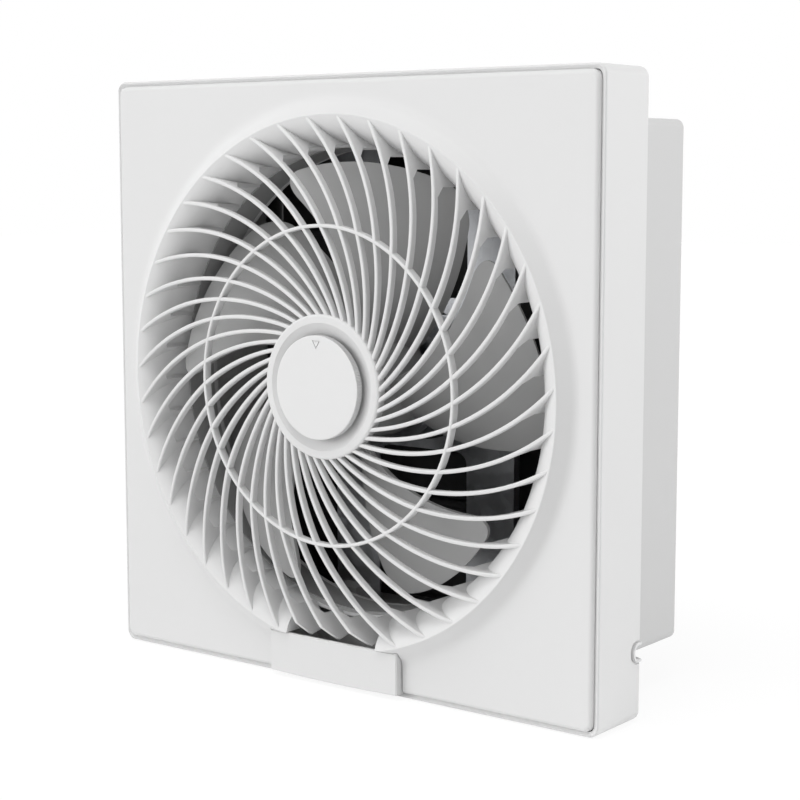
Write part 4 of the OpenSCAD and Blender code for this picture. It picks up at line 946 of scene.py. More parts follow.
@dataclass
class Grille(Panel):
    """The panel's spiral ribs, with the hub and the middle ring that carry them.

    The middle of a rib's rear edge is given by radius and depth. The rear steps are the numbers of
    sections up to each of its points, and the bell stations are the sections' radii past them.
    """

    rib_count: int = 43
    free_count: int = 3
    free_first: int = 21
    rib_t: float = 2.3
    rib_curve: float = 138.4
    rib_sweep: float = 53.8
    rib_phase: float = 87.7
    rib_front: float = -57.9
    nose: float = 0.75
    tail: float = 0.3
    inner_r: float = 39.7
    outer_r: float = 152.3
    end_r: float = 151.8
    dome_r: float = 91.0
    dome_power: float = 0.9
    dome_gap: float = 0.1
    sink_r: float = 146.0
    sink_run: float = 6.0
    sink_depth: float = 0.5
    vane_r: float = 134.6
    vane_step: float = 0.08
    rear_hub: float = -54.0
    rear_middle: tuple[Flat, ...] = ((88.0, -53.5), (102.0, -52.3), (118.0, -51.0), (130.3, -50.7))
    rear_vane: float = -45.2
    rear_steps: tuple[int, ...] = (12, 4, 5, 4)
    bell_stations: tuple[float, ...] = (136.0, 136.3, 137.0, 138.5, 141.0, 144.0, 147.0, 149.5)
    drip_z: float = -147.8
    drip_slope: float = 6.2
    drip_rise: float = 5.0
    seam_r: float = 146.0
    wall_front: float = -51.6
    wall_overlap: float = 0.06
    cut_reach: float = 60.0
    cut_rear: float = -10.0
    ring_r: float = 91.6
    ring_w: float = 2.0
    ring_front: float = -58.05
    ring_depth: float = 4.8
    ring_round: float = 0.7
    ring_facets: int = 300

    def front_of(self, radius: float) -> float:
        """Finds the depth of a rib's front edge.

        Args:
            radius: the distance from the fan's axis.

        Returns:
            The depth.
        """
        share = max(0.0, min(1.0, (radius - self.dome_r) / (self.lip_r - self.dome_r)))
        fall = self.lip_front - self.dome_gap - self.rib_front
        sink = self.sink_depth * max(0.0, (radius - self.sink_r) / self.sink_run) ** 2
        return self.rib_front + fall * share ** self.dome_power + sink

    def rear_edge(self) -> list[Flat]:
        """Radius and depth along a rib's rear edge, from the hub to beside the bell mouth."""
        return [(self.inner_r, self.rear_hub), *self.rear_middle, (self.vane_r, self.rear_vane)]

    def rear_of(self, radius: float, free: bool) -> float:
        """Finds the depth of a rib's rear edge: shallow, then down to the bell mouth's rear.

        Args:
            radius: the distance from the fan's axis.
            free: whether the rib's deep end hangs free.

        Returns:
            The depth.
        """
        edge = self.rear_edge()
        for (inner, near), (outer, far) in zip(edge, edge[1:]):
            if radius <= outer:
                return near + (far - near) * (radius - inner) / (outer - inner)
        if free:
            return self.drip_rear
        sunk = self.bell_wall / 2.0
        share = max(0.0, min(1.0, (self.bell_centre - radius) / (self.bell_centre - self.bell_r - sunk)))
        return self.bell_rear - (self.bell_depth - sunk) * math.sqrt(1.0 - share * share)

    def stations(self) -> list[float]:
        """Spaces a rib's sections, close together where its rear edge turns.

        Returns:
            The sections' radii.
        """
        edge = [radius for radius, _ in self.rear_edge()]
        radii = [self.inner_r]
        for inner, outer, count in zip(edge, edge[1:], self.rear_steps):
            radii += spread(inner, outer, count)[1:]
        return radii + [self.vane_r, self.vane_r + self.vane_step, *self.bell_stations, self.end_r]

    def section(self, radius: float, free: bool) -> list[Flat]:
        """Draws a rib's section: round in front, square behind.

        Args:
            radius: the distance from the fan's axis.
            free: whether the rib's deep end hangs free.

        Returns:
            Points across the rib's thickness and depth.
        """
        half, nose, tail = self.rib_t / 2.0, self.nose, self.tail
        front, rear = self.front_of(radius), self.rear_of(radius, free)
        left = arc((nose - half, front + nose), nose, 180.0, 270.0, 3)
        right = arc((half - nose, front + nose), nose, 270.0, 360.0, 3)
        back = [(half, rear - tail), (half - tail, rear), (tail - half, rear), (-half, rear - tail)]
        return left + right + back

    def rib(self, free: bool) -> Shell:
        """One rib along its arc, with its outer end on the X axis.

        Args:
            free: whether its deep end hangs free above the cup, in place of meeting the bell mouth.

        Returns:
            The rib's closed shell.
        """
        turn = math.radians(-self.rib_sweep)
        start = Vector((math.cos(turn), math.sin(turn))) * self.inner_r
        chord = Vector((self.outer_r, 0.0)) - start
        rise = math.sqrt(self.rib_curve ** 2 - chord.length_squared / 4.0)
        centre = start + chord / 2.0 + Vector((-chord.y, chord.x)) * (rise / chord.length)
        axis = centre.normalized()
        across = Vector((axis.y, -axis.x))
        loops = []
        for radius in self.stations():
            along = (radius ** 2 - self.rib_curve ** 2 + centre.length_squared) / (2.0 * centre.length)
            place = axis * along + across * math.sqrt(radius ** 2 - along ** 2)
            side = (place - centre).normalized()
            loops.append([(place.x + side.x * w, y, place.y + side.y * w)
                          for w, y in self.section(radius, free)])
        return Shell().skin(loops, cap=True)

    def ring(self) -> Shell:
        """Turns the thin ring that ties the ribs together half way out.

        Returns:
            The ring's shell.
        """
        outer, inner, soft = self.ring_r, self.ring_r - self.ring_w, self.ring_round
        front, rear = self.ring_front, self.ring_front + self.ring_depth
        profile = arc((outer - soft, front + soft), soft, -90.0, 0.0, 3)
        profile += [(outer, rear), (inner, rear)]
        profile += arc((inner + soft, front + soft), soft, 180.0, 270.0, 3)
        return Shell().lathe(profile, self.ring_facets)

    def window_wall(self, side: float) -> Shell:
        """Makes one side wall of the drip window, from the bell mouth down towards the cup.

        Args:
            side: -1 for the left wall and 1 for the right one.

        Returns:
            The wall's shell.
        """
        edge = [(self.wall_front, self.drip_z), (self.drip_rear, self.drip_z)]
        seam = [(y, -math.sqrt(r * r - self.drip_half ** 2))
                for r, y in self.bell_points(self.bell_wall / 2.0, self.bell_facets)
                if y < self.drip_rear and r < self.seam_r]
        near, far = self.drip_half - self.wall_overlap, self.drip_half + self.bell_wall
        return Shell().prism(edge + seam, *sorted((side * near, side * far)), "x")

    def cup_way(self) -> Shell:
        """Makes the cutter that ends the free ribs above the cup, on a slope in front and behind.

        Returns:
            The cutter.
        """
        reach, top = self.cut_reach, self.drip_z
        corner = self.wall_front + self.drip_slope
        outline = [(-reach, top + corner + reach), (corner, top), (self.cut_rear, top + self.drip_rise),
                   (self.cut_rear, -self.half), (-reach, -self.half)]
        return Shell().prism(outline, -reach, reach, "x")

    def build(self) -> None:
        """Builds the ribs, the hub, the middle ring and the walls of the drip window."""
        step = 2.0 * math.pi / self.rib_count
        first = math.radians(self.rib_phase) + step * self.free_first
        ring = Ring()
        ribs = self.rib(False).piece("spiral_ribs")
        ring.apply(ribs, Coat.SHELL, self.rib_count - self.free_count,
                   step=step, turn=first + step * self.free_count)
        free = self.rib(True).piece("free_ribs")
        ring.apply(free, Coat.SHELL, self.free_count, step=step, turn=first)
        combine(free, self.cup_way())
        self.fit(ribs)
        self.fit(free)
        self.fit(Hub().shell().piece("hub_ring"))
        self.fit(self.ring().piece("middle_ring"))
        for side, name in ((-1.0, "left"), (1.0, "right")):
            self.fit(self.window_wall(side).piece(f"drip_wall_{name}"))


@dataclass
class Knob:
    """The centre knob with its fine knurl and its small pointer mark."""

    radius: float = 29.5
    front: float = -62.6
    rear: float = -57.9
    edge_r: float = 0.5
    face_radii: tuple[float, ...] = (12.0, 26.5, 27.9)
    teeth: int = 220
    tooth: float = 0.6
    tooth_phases: tuple[float, ...] = (0.0, 0.5, 1.0, 0.5)
    tooth_angle: float = 24.0
    knurl_front: float = -61.7
    skin_t: float = 2.0
    stem_r: float = 24.0
    stem_t: float = 2.0
    stem_front: float = -60.7
    stem_rear: float = -48.1
    stem_round: float = 0.25
    stem_facets: int = 96
    mark_half: float = 3.0
    mark_top: float = 26.7
    mark_low: float = 21.7
    mark_line: float = 0.6
    mark_mitre: float = 1.7
    mark_tip: float = 2.0
    mark_depth: float = 0.6
    mark_over: float = 1.0

    def rim(self, radius: float, y: float, depth: float = 0.0) -> list[Point]:
        """Lays a ring of the rim.

        Args:
            radius: the ring's radius.
            y: its depth.
            depth: how deep its teeth are.

        Returns:
            The ring.
        """
        count = len(self.tooth_phases) * self.teeth
        ring = []
        for i in range(count):
            turn = 2.0 * math.pi * i / count
            reach = radius - depth * self.tooth_phases[i % len(self.tooth_phases)]
            ring.append((reach * math.cos(turn), y, reach * math.sin(turn)))
        return ring

    def cap(self) -> Shell:
        """Makes the knob's face and knurled rim.

        Returns:
            Their shell.
        """
        soft, back = self.edge_r, self.front + self.skin_t
        edge = arc((self.radius - soft, self.front + soft), soft, -90.0, -10.0, 5)
        inner = self.radius - self.skin_t
        loops = [self.rim(r, self.front) for r in self.face_radii]
        loops += [self.rim(r, y) for r, y in edge]
        loops += [self.rim(self.radius, y, self.tooth) for y in (self.knurl_front, self.rear)]
        loops += [self.rim(inner, self.rear), self.rim(inner, back), self.rim(self.face_radii[0], back)]
        return Shell().skin([[(0.0, self.front, 0.0)], *loops, [(0.0, back, 0.0)]])

    def mark(self) -> Shell:
        """Makes the cutter of the pointer mark: an outlined triangle that points down.

        Returns:
            The cutter.
        """
        half, line = self.mark_half, self.mark_line
        inner_half, inner_top = half - line * self.mark_mitre, self.mark_top - line
        outer = [(-half, self.mark_top), (half, self.mark_top), (0.0, self.mark_low)]
        inner_low = self.mark_low + line * self.mark_tip
        inner = [(-inner_half, inner_top), (inner_half, inner_top), (0.0, inner_low)]
        near, deep = self.front - self.mark_over, self.front + self.mark_depth
        sides = ((outer, near), (outer, deep), (inner, deep), (inner, near))
        return Shell().skin([[(x, y, z) for x, z in outline] for outline, y in sides], closed=True)

    def build(self) -> None:
        """Builds the knob and its stem."""
        cap = combine(self.cap().piece("knob_cap"), self.mark())
        dress(cap, Coat.KNOB, "knob", ["hub_knob"], angle=self.tooth_angle)
        bore = self.stem_r - self.stem_t
        stem = [(self.stem_r, self.stem_front), (self.stem_r, self.stem_rear),
                (bore, self.stem_rear), (bore, self.stem_front)]
        piece = Shell().lathe(stem, self.stem_facets).bevel(self.stem_round).piece("knob_stem")
        dress(piece, Coat.KNOB, "knob", ["hub_knob"])


@dataclass
class OilCup:
    """The pull-out oil cup: its front, which fills the panel's lower edge, and its trough."""

    half: float = 47.0
    top: float = -148.5
    low: float = -172.6
    sag: float = 0.8
    bow_facets: int = 32
    front: float = -50.0
    rear: float = -42.5
    sheet: float = 2.0
    chamfer: float = 0.5
    break_edge: float = 0.35
    hollow_low: float = -172.2
    hollow_top: float = -146.5
    body_half: float = 45.0
    body_front: float = -48.5
    body_rear: float = -10.0
    body_round: float = 0.8
    floor: float = -172.2
    rim: float = -152.2
    wall: float = 1.6
    open_top: float = -147.2

    def face(self, inset: float, y: float) -> list[Point]:
        """Draws the outline of the cup's front, straight above and bowed below.

        Args:
            inset: how far the outline is moved in.
            y: its depth.

        Returns:
            The outline.
        """
        half = self.half - inset
        across = spread(-half, half, self.bow_facets)
        upper = [(x, y, self.top - inset) for x in across]
        lower = [(x, y, self.low + inset - self.sag * (1.0 - (x / self.half) ** 2)) for x in across]
        return upper + lower[::-1]

    def cover(self) -> bpy.types.Object:
        """Makes the cup's front, hollow from behind.

        Returns:
            The piece.
        """
        rings = ((0.0, self.rear), (0.0, self.front + self.chamfer),
                 (self.break_edge, self.front + self.break_edge), (self.chamfer, self.front))
        shell = Shell().skin([self.face(inset, y) for inset, y in rings], cap=True)
        inner = self.half - self.sheet
        return combine(shell.piece("cup_front"),
                       Shell().block((-inner, self.front + self.sheet, self.hollow_low),
                                     (inner, self.rear + 1.0, self.hollow_top)))

    def trough(self) -> bpy.types.Object:
        """Makes the trough behind the front, open above.

        Returns:
            The piece.
        """
        half, wall = self.body_half, self.wall
        shell = Shell().block((-half, self.body_front, self.floor), (half, self.body_rear, self.rim))
        room = Shell().block((wall - half, self.front + self.sheet, self.floor + wall),
                             (half - wall, self.body_rear - wall, self.open_top))
        return combine(shell.bevel(self.body_round, 3).piece("cup_trough"), room)

    def build(self) -> None:
        """Builds the cup."""
        for piece in (self.cover(), self.trough()):
            dress(piece, Coat.SHELL, "cup", ["oil_cup"])


# ---------------------------------------------------------------- frame, duct and throat


@dataclass(frozen=True)
class Boss:
    """A moulded block that stands at each corner of a rectangle about the fan's axis."""

    name: str
    half_x: float
    half_z: float
    front: float
    rear: float
    across: float
    up: float
    round_r: float = 0.6

    def build(self, corners: Corners, coat: Coat, node: str) -> None:
        """Builds the four blocks.

        Args:
            corners: the pattern that sets them.
            coat: their finish.
            node: the node of the housing that they belong to.
        """
        x, z = self.half_x, self.half_z
        shell = Shell().block((-x, self.front, -z), (x, self.rear, z))
        piece = shell.bevel(self.round_r).piece(self.name)
        corners.apply(piece, coat, 4, across=self.across * MM, up=self.up * MM)
        dress(piece, coat, "housing", [node])


@dataclass
class BodyFrame(Outline):
    """The square tray that is screwed to the window board.

    Each row of mouth is a step inside the front edge: how far in from the inner wall it lies, the
    radius of its corners, and how far behind the front it lies.
    """

    front: float = -43.0
    wall: float = 2.5
    floor: float = -3.0
    floor_round: float = 0.5
    floor_corner: float = 3.2
    inner_corner: float = 3.5
    mouth: tuple[Point, ...] = ((0.0, 3.5, 3.9), (0.5, 3.3, 3.1), (0.5, 3.3, 0.9), (0.0, 3.5, 0.85),
                                (-0.1, 3.6, 0.75), (-1.4, 4.4, 0.03))
    front_r: float = 1.0
    front_land: float = 2.0
    rear_r: float = 1.5
    rear_taper: float = 0.5
    rear_land: float = 1.0
    throat_r: float = 134.5
    post: Boss = Boss("panel_posts", 7.0, 7.0, -29.7, -2.0, 166.1, 166.1, 0.5)
    fix: Flat = (161.0, 120.0)
    fix_r: float = 2.5
    inlet_z: float = -136.2
    inlet_r: float = 3.8
    inlet_depth: float = 7.3
    inlet_from: float = 160.0
    rim_w: float = 1.7
    rim_out: float = 1.2
    rim_root: float = 1.4
    rim_rear: float = -0.6
    rim_round: float = 0.35
    moat_w: float = 1.2
    moat_depth: float = 0.9
    cut_side: float = 180.0
    cut_rear: float = 2.0
    rail_x: float = 45.4
    rail_t: float = 2.0
    rail_front: float = -40.8
    rail_rear: float = -2.0
    rail_low: float = -173.5
    rail_top: float = -163.4
    rail_round: float = 0.3

    def loops(self) -> list[list[Point]]:
        """Lays the closed shell's rings from the throat's hole round the inside and outside.

        Returns:
            The rings, in order.
        """
        inner, soft = self.half - self.wall, self.floor_round
        rings = [self.circle(self.throat_r, self.floor),
                 self.square(inner - soft, self.floor_corner, self.floor),
                 self.square(inner, self.inner_corner, self.floor - soft)]
        rings += [self.square(inner - inset, corner, self.front + depth)
                  for inset, corner, depth in self.mouth]
        rings += self.rounded(self.front_r, self.front + self.front_r, (-90.0, 0.0), 5)
        rings += [self.square(self.half, self.corner, y)
                  for y in (self.front + self.front_land, -self.rear_r - self.rear_land)]
        rings += self.rounded(self.rear_r, -self.rear_r, (0.0, 90.0), 8, self.rear_taper)
        return rings + [self.square(self.half - self.rear_r - self.rear_land, self.inner_corner, 0.0),
                        self.circle(self.throat_r, 0.0)]

    def slot(self, grow: float, rear: float) -> list[Flat]:
        """Draws the outline of the cord inlet, open to the rear.

        Args:
            grow: how far the outline is moved out.
            rear: where it ends.

        Returns:
            Points of Y and Z.
        """
        radius = self.inlet_r + grow
        centre = (self.inlet_r - self.inlet_depth, self.inlet_z)
        bend = arc(centre, radius, 90.0, 270.0, 20)
        return [(rear, self.inlet_z + radius), *bend, (rear, self.inlet_z - radius)]

    def fixing_holes(self, corners: Corners) -> Shell:
        """Makes the cutter of the four fixing holes.

        Args:
            corners: the pattern that sets them.

        Returns:
            The cutter.
        """
        hole = Shell().rod((0.0, 0.0), self.fix_r, self.floor - 1.0, 1.0).piece("fixing_holes")
        corners.apply(hole, Coat.SHELL, 4, across=self.fix[0] * MM, up=self.fix[1] * MM)
        cutter = Shell()
        cutter.bm.from_mesh(hole.data)
        cutter.bm.transform(Matrix.Scale(1.0 / MM, 4))
        bpy.data.objects.remove(hole)
        return cutter

    def rails(self) -> Shell:
        """Makes the two rails that guide the oil cup.

        Returns:
            The rails' shell.
        """
        shell = Shell()
        for side in (-1.0, 1.0):
            ends = sorted((side * self.rail_x, side * (self.rail_x + self.rail_t)))
            shell.block((ends[0], self.rail_front, self.rail_low), (ends[1], self.rail_rear, self.rail_top))
        return shell.bevel(self.rail_round)

    def inlet_rim(self) -> Shell:
        """Makes the raised rim round the cord inlet.

        Returns:
            The rim's shell.
        """
        band = self.slot(self.rim_w, self.rim_rear) + self.slot(0.0, self.rim_rear)[::-1]
        shell = Shell().prism(band, self.half - self.rim_root, self.half + self.rim_out, "x")
        return shell.bevel(self.rim_round, 3)

    def build(self) -> None:
        """Builds the frame with its holes and the cord inlet, and the posts and rails in it."""
        corners = Corners()
        tray = Shell().skin(self.loops(), closed=True).piece("frame_tray")
        moat = self.slot(self.rim_w + self.moat_w, self.cut_rear)
        cutters = ((self.slot(0.0, self.cut_rear), self.inlet_from), (moat, self.half - self.moat_depth))
        for outline, start in cutters:
            combine(tray, Shell().prism(outline, start, self.cut_side, "x"))
        combine(tray, self.fixing_holes(corners))
        dress(tray, Coat.SHELL, "housing", ["body_frame"])
        self.post.build(corners, Coat.SHELL, "body_frame")
        dress(self.rails().piece("cup_rails"), Coat.SHELL, "housing", ["body_frame"])
        dress(self.inlet_rim().piece("inlet_rim"), Coat.SHELL, "housing", ["body_frame"])


@dataclass
class Duct(Outline):
    """The square sleeve that goes through the wall, with the bosses inside it."""

    half: float = 150.0
    corner: float = 5.0
    length: float = 83.0
    wall: float = 2.5
    front_trim: float = 0.3
    front_corner: float = 4.8
    front_land: float = 3.0
    rear_r: float = 1.0
    rear_taper: float = 0.8
    rear_land: float = 1.0
    inner_trim: Flat = (0.1, 0.2)
    inner_corner: float = 2.5
    trim_corner: float = 2.7
    window: float = 137.5
    window_corner: float = 4.0
    flange_t: float = 2.5
    bosses: tuple[Boss, ...] = (Boss("bracket_bosses", 10.0, 6.0, 22.0, 37.0, 50.0, 141.5),
                                Boss("shutter_bosses", 5.5, 5.5, 46.1, 62.1, 142.2, 142.2))

    def loops(self) -> list[list[Point]]:
        """Lays the closed shell's rings from the front window round the outside and inside.

        Returns:
            The rings, in order.
        """
        inner, trim = self.half - self.wall, self.front_trim
        rings = [self.square(self.window, self.window_corner, y) for y in (self.flange_t, 0.0)]
        rings.append(self.square(self.half - trim, self.front_corner, 0.0))
        rings += [self.square(self.half, self.corner, y)
                  for y in (trim, self.front_land, self.length - self.rear_r - self.rear_land)]
        rings += self.rounded(self.rear_r, self.length - self.rear_r, (0.0, 90.0), 6, self.rear_taper)
        return rings + [self.square(inner + self.inner_trim[0], self.trim_corner, self.length),
                        self.square(inner, self.inner_corner, self.length - self.inner_trim[1]),
                        self.square(inner, self.inner_corner, self.flange_t)]

    def build(self) -> None:
        """Builds the sleeve and the bosses inside it."""
        sleeve = Shell().skin(self.loops(), closed=True).piece("duct_sleeve")
        # The sleeve's darker white is painted shade, in place of the frame's shadow on it.
        dress(sleeve, Coat.INNER, "housing", ["rear_duct"])
        corners = Corners()
        for boss in self.bosses:
            boss.build(corners, Coat.INNER, "rear_duct")


@dataclass
class Throat:
    """The round throat between the bell mouth and the duct, with the flange that holds it."""

    bore_r: float = 134.5
    outer_r: float = 136.7
    flange_r: float = 146.0
    front: float = -24.7
    flange_front: float = -5.0
    rear: float = -3.0
    edge_round: float = 0.25

    def build(self) -> None:
        """Builds the throat."""
        profile = [(self.bore_r, self.front), (self.outer_r, self.front), (self.outer_r, self.flange_front),
                   (self.flange_r, self.flange_front), (self.flange_r, self.rear), (self.bore_r, self.rear)]
        piece = Shell().lathe(profile).bevel(self.edge_round).piece("throat_tube")
        dress(piece, Coat.BLADE, "housing", ["throat_ring"])


# ---------------------------------------------------------------- impeller


@dataclass
class Impeller:
    """The five-blade axial impeller with its hub."""

    tip_r: float = 126.0
    blades: int = 5
    blade_t: float = 2.2
    blade_round: float = 0.75
    edge_angle: float = 50.0
    root_angle: float = 44.0
    tip_angle: float = 54.0
    phase: float = 79.0
    sweep: float = 34.0
    depth: float = 34.0
    front: float = 38.0
    round_r: float = 17.0
    flat_share: float = 0.37
    chord_points: int = 49
    span_points: int = 25
    hub_r: float = 33.0
    wall: float = 2.2
    hub_front: float = -39.8
    hub_rear: float = -2.2
    outer_trim: Flat = (0.8, 0.9)
    inner_trim: float = 0.6
    hub_round: float = 0.3
    hub_facets: int = 180
    web_front: float = -36.8
    web_rear: float = -34.6
    bore_r: float = 4.6
    sleeve_bore_r: float = 6.5
    sleeve_r: float = 9.0
    sleeve_rear: float = -5.5
    spokes: int = 6
    spoke_from: Point = (8.5, -35.6, -0.8)
    spoke_to: Point = (32.0, -18.0, 0.8)

    def blade_tree(self) -> bpy.types.NodeTree:
        """Writes the rule of one blade's middle surface as a Geometry Nodes tree.

        Returns:
            The tree.
        """
        lengths = {"Tip": self.tip_r, "Root": self.hub_r - self.wall / 2.0, "Depth": self.depth,
                   "Front": self.front, "Round": self.round_r}
        angles = {"Sweep": self.sweep, "Phase": self.phase, "Root angle": self.root_angle,
                  "Tip angle": self.tip_angle}
        sizes = {name: length * MM for name, length in lengths.items()}
        sizes.update({name: math.radians(angle) for name, angle in angles.items()})
        tree = bpy.data.node_groups.new("blade", "GeometryNodeTree")
        for name, size in sizes.items():
            made = tree.interface.new_socket(name, in_out="INPUT", socket_type="NodeSocketFloat")
            made.default_value = size
        tree.interface.new_socket("Finish", in_out="INPUT", socket_type="NodeSocketMaterial")
        tree.interface.new_socket("Geometry", in_out="OUTPUT", socket_type="NodeSocketGeometry")
        net = Net(tree)
        given = {name: net.add("NodeGroupInput", output=name) for name in (*sizes, "Finish")}
        grid = net.add("GeometryNodeMeshGrid",
                       inputs={"Size X": 1.0, "Size Y": 1.0, "Vertices X": self.chord_points,
                               "Vertices Y": self.span_points})
        spot = net.add("GeometryNodeInputPosition")
        along = net.add("ShaderNodeSeparateXYZ", inputs={0: spot}, output="X") + 0.5
        share = (1.0 - net.maths("COSINE", along * math.pi)) / 2.0
        out = net.add("ShaderNodeSeparateXYZ", inputs={0: spot}, output="Y") + 0.5
        edge = net.maths("MINIMUM", net.maths("MINIMUM", share, 1.0 - share) * given["Tip angle"]
                         * given["Tip"] / given["Round"], 1.0)
        drop = 1.0 - net.maths("SQRT", 1.0 - (1.0 - edge) * (1.0 - edge))
        reach = given["Tip"] - given["Round"] * drop
        radius = given["Root"] + (reach - given["Root"]) * out
        rise = (radius - given["Root"]) / (given["Tip"] - given["Root"])
        covered = given["Root angle"] + (given["Tip angle"] - given["Root angle"]) * rise
        angle = given["Phase"] + given["Sweep"] * rise - share * covered
        fall = given["Depth"] * (share * self.flat_share + share * share * (1.0 - self.flat_share))
        place = net.add("ShaderNodeCombineXYZ",
                        inputs={"X": radius * net.maths("COSINE", angle), "Y": fall - given["Front"],
                                "Z": radius * net.maths("SINE", angle)})
        blade = net.add("GeometryNodeSetPosition", inputs={"Geometry": grid, "Position": place})
        solid = net.add("GeometryNodeRealizeInstances", inputs={0: blade})
        dressed = net.add("GeometryNodeSetMaterial",
                          inputs={"Geometry": solid, "Material": given["Finish"]})
        net.ends("NodeGroupOutput", {"Geometry": dressed})
        return tree

    def build_blades(self) -> None:
        """Builds the blades."""
        piece = Shell().piece("blades")
        give_inputs(piece, self.blade_tree(), {"Finish": Coat.BLADE.material})
        settle(piece)
        wall = piece.modifiers.new("wall", "SOLIDIFY")
        wall.thickness = self.blade_t * MM
        wall.offset = 0.0
        round_off = piece.modifiers.new("round", "BEVEL")
        round_off.width = self.blade_round * MM
        round_off.segments = 3
        round_off.angle_limit = math.radians(self.edge_angle)
        settle(piece)
        Ring().apply(piece, Coat.BLADE, self.blades, step=2.0 * math.pi / self.blades, turn=0.0)
        dress(piece, Coat.BLADE, "fan_rotor", ["impeller"])

    def hub(self) -> Shell:
        """Turns the hub: an outer wall, a web, and a sleeve about the shaft.

        Returns:
            The hub's shell.
        """
        outer, inner = self.hub_r, self.hub_r - self.wall
        trim_r, trim_y = self.outer_trim
        profile = [
            (self.bore_r, self.web_front), (self.bore_r, self.web_rear),
            (self.sleeve_bore_r, self.web_rear), (self.sleeve_bore_r, self.sleeve_rear),
            (self.sleeve_r, self.sleeve_rear), (self.sleeve_r, self.web_rear),
            (inner, self.web_rear), (inner, self.hub_rear),
            (outer, self.hub_rear), (outer, self.hub_front + trim_y),
            (outer - trim_r, self.hub_front), (inner + self.inner_trim, self.hub_front),
            (inner, self.hub_front + self.inner_trim), (inner, self.web_front),
        ]
        return Shell().lathe(profile, self.hub_facets).bevel(self.hub_round)

    def build(self) -> None:
        """Builds the blades, the hub and its spokes."""
        self.build_blades()
        dress(self.hub().piece("impeller_hub"), Coat.BLADE, "fan_rotor", ["impeller"])
        spokes = Shell().block(self.spoke_from, self.spoke_to).piece("hub_spokes")
        Ring().apply(spokes, Coat.BLADE, self.spokes, step=2.0 * math.pi / self.spokes, turn=0.0)
        dress(spokes, Coat.BLADE, "fan_rotor", ["impeller"])


# ---------------------------------------------------------------- fasteners


@dataclass(frozen=True)
class Screw:
    """A pan-head cross-recess screw along Y, with the seat of its head at a depth."""

    shank_r: float
    length: float
    head_r: float
    seat: float
    head_h: float = 2.0
    rearward: bool = False
    skirt: float = 0.25
    crown_share: float = 0.55
    tip_share: float = 0.45
    tip_run: float = 0.6
    arm_share: float = 0.55
    slot_share: float = 0.14
    recess_share: float = 0.45
    facets: int = 32

    def shell(self, x: float = 0.0, z: float = 0.0) -> bpy.types.Object:
        """Makes one screw.

        Args:
            x: where its middle lies in X.
            z: where its middle lies in Z.

        Returns:
            The screw.
        """
        share = self.crown_share
        crown = arc((self.head_r * share, -self.head_h * (1.0 - share)), self.head_h * share, -90.0, 0.0, 4)
        dome = [*crown[:-1], (self.head_r, crown[-1][1])]
        profile = [(0.0, -self.head_h), *dome, (self.head_r, -self.skirt), (self.head_r - self.skirt, 0.0),
                   (self.shank_r, 0.0), (self.shank_r, self.length - self.shank_r * self.tip_run),
                   (self.shank_r * self.tip_share, self.length), (0.0, self.length)]
        piece = Shell().lathe(profile, self.facets, closed=False).piece("screw")
        arm, width = self.arm_share * self.head_r, self.slot_share * self.head_r
        top, floor = -self.head_h - 1.0, -self.head_h * self.recess_share
        for half_x, half_z in ((arm, width), (width, arm)):
            combine(piece, Shell().block((-half_x, top, -half_z), (half_x, floor, half_z)))
        turned = Matrix.Rotation(math.pi, 4, "X") if self.rearward else Matrix.Identity(4)
        piece.data.transform(Matrix.Translation(Vector((x, self.seat, z)) * MM) @ turned)
        return piece


@dataclass
class Fasteners:
    """Every screw, in its pattern.

    Each row of rectangles is a node, one of its four screws, and how far the screws stand from the
    fan's axis in X and Z.
    """

    throat: Screw = Screw(1.5, 4.6, 3.2, seat=-5.0)
    throat_r: float = 141.5
    throat_turn: float = 57.0
    rectangles: tuple[tuple[str, Screw, float, float], ...] = (
        ("duct_screws", Screw(1.75, 6.5, 3.6, seat=-3.0), 142.5, 100.0),
        ("bracket_screws", Screw(1.75, 12.0, 3.4, seat=38.6, rearward=True), 50.0, 141.5),
        ("damper_screws", Screw(2.0, 10.6, 4.0, seat=32.0), 50.0, 28.0),
        ("shutter_screws", Screw(1.25, 11.0, 2.6, seat=63.1, head_h=1.8, rearward=True), 139.5, 139.5),
    )
    lid: Screw = Screw(1.5, 9.0, 3.0, seat=-21.5)
    lid_place: Flat = (145.0, -155.0)

    def fit(self, node: str, name: str, piece: bpy.types.Object, pattern: Optional[Pattern] = None,
            **sizes: float) -> None:
        """Names one screw, repeats it four times where it has a pattern, and dresses the result.

        Args:
            node: the screws' node.
            name: the piece's name.
            piece: one of the screws.
            pattern: the pattern that repeats it.
            sizes: the pattern's sizes, in metres and radians.
        """
        piece.name = name
        if pattern:
            pattern.apply(piece, Coat.ZINC, 4, **sizes)
        dress(piece, Coat.ZINC, "housing", [node])

    def build(self) -> None:
        """Builds all the screws."""
        self.fit("throat_screws", "throat_screws_set", self.throat.shell(self.throat_r), Ring(),
                 step=math.pi / 2.0, turn=math.radians(self.throat_turn))
        corners = Corners()
        for node, screw, across, up in self.rectangles:
            self.fit(node, f"{node}_set", screw.shell(), corners, across=across * MM, up=up * MM)
        self.fit("lid_screw", "lid_screw_head", self.lid.shell(*self.lid_place))


# ---------------------------------------------------------------- motor, wiring and shutter


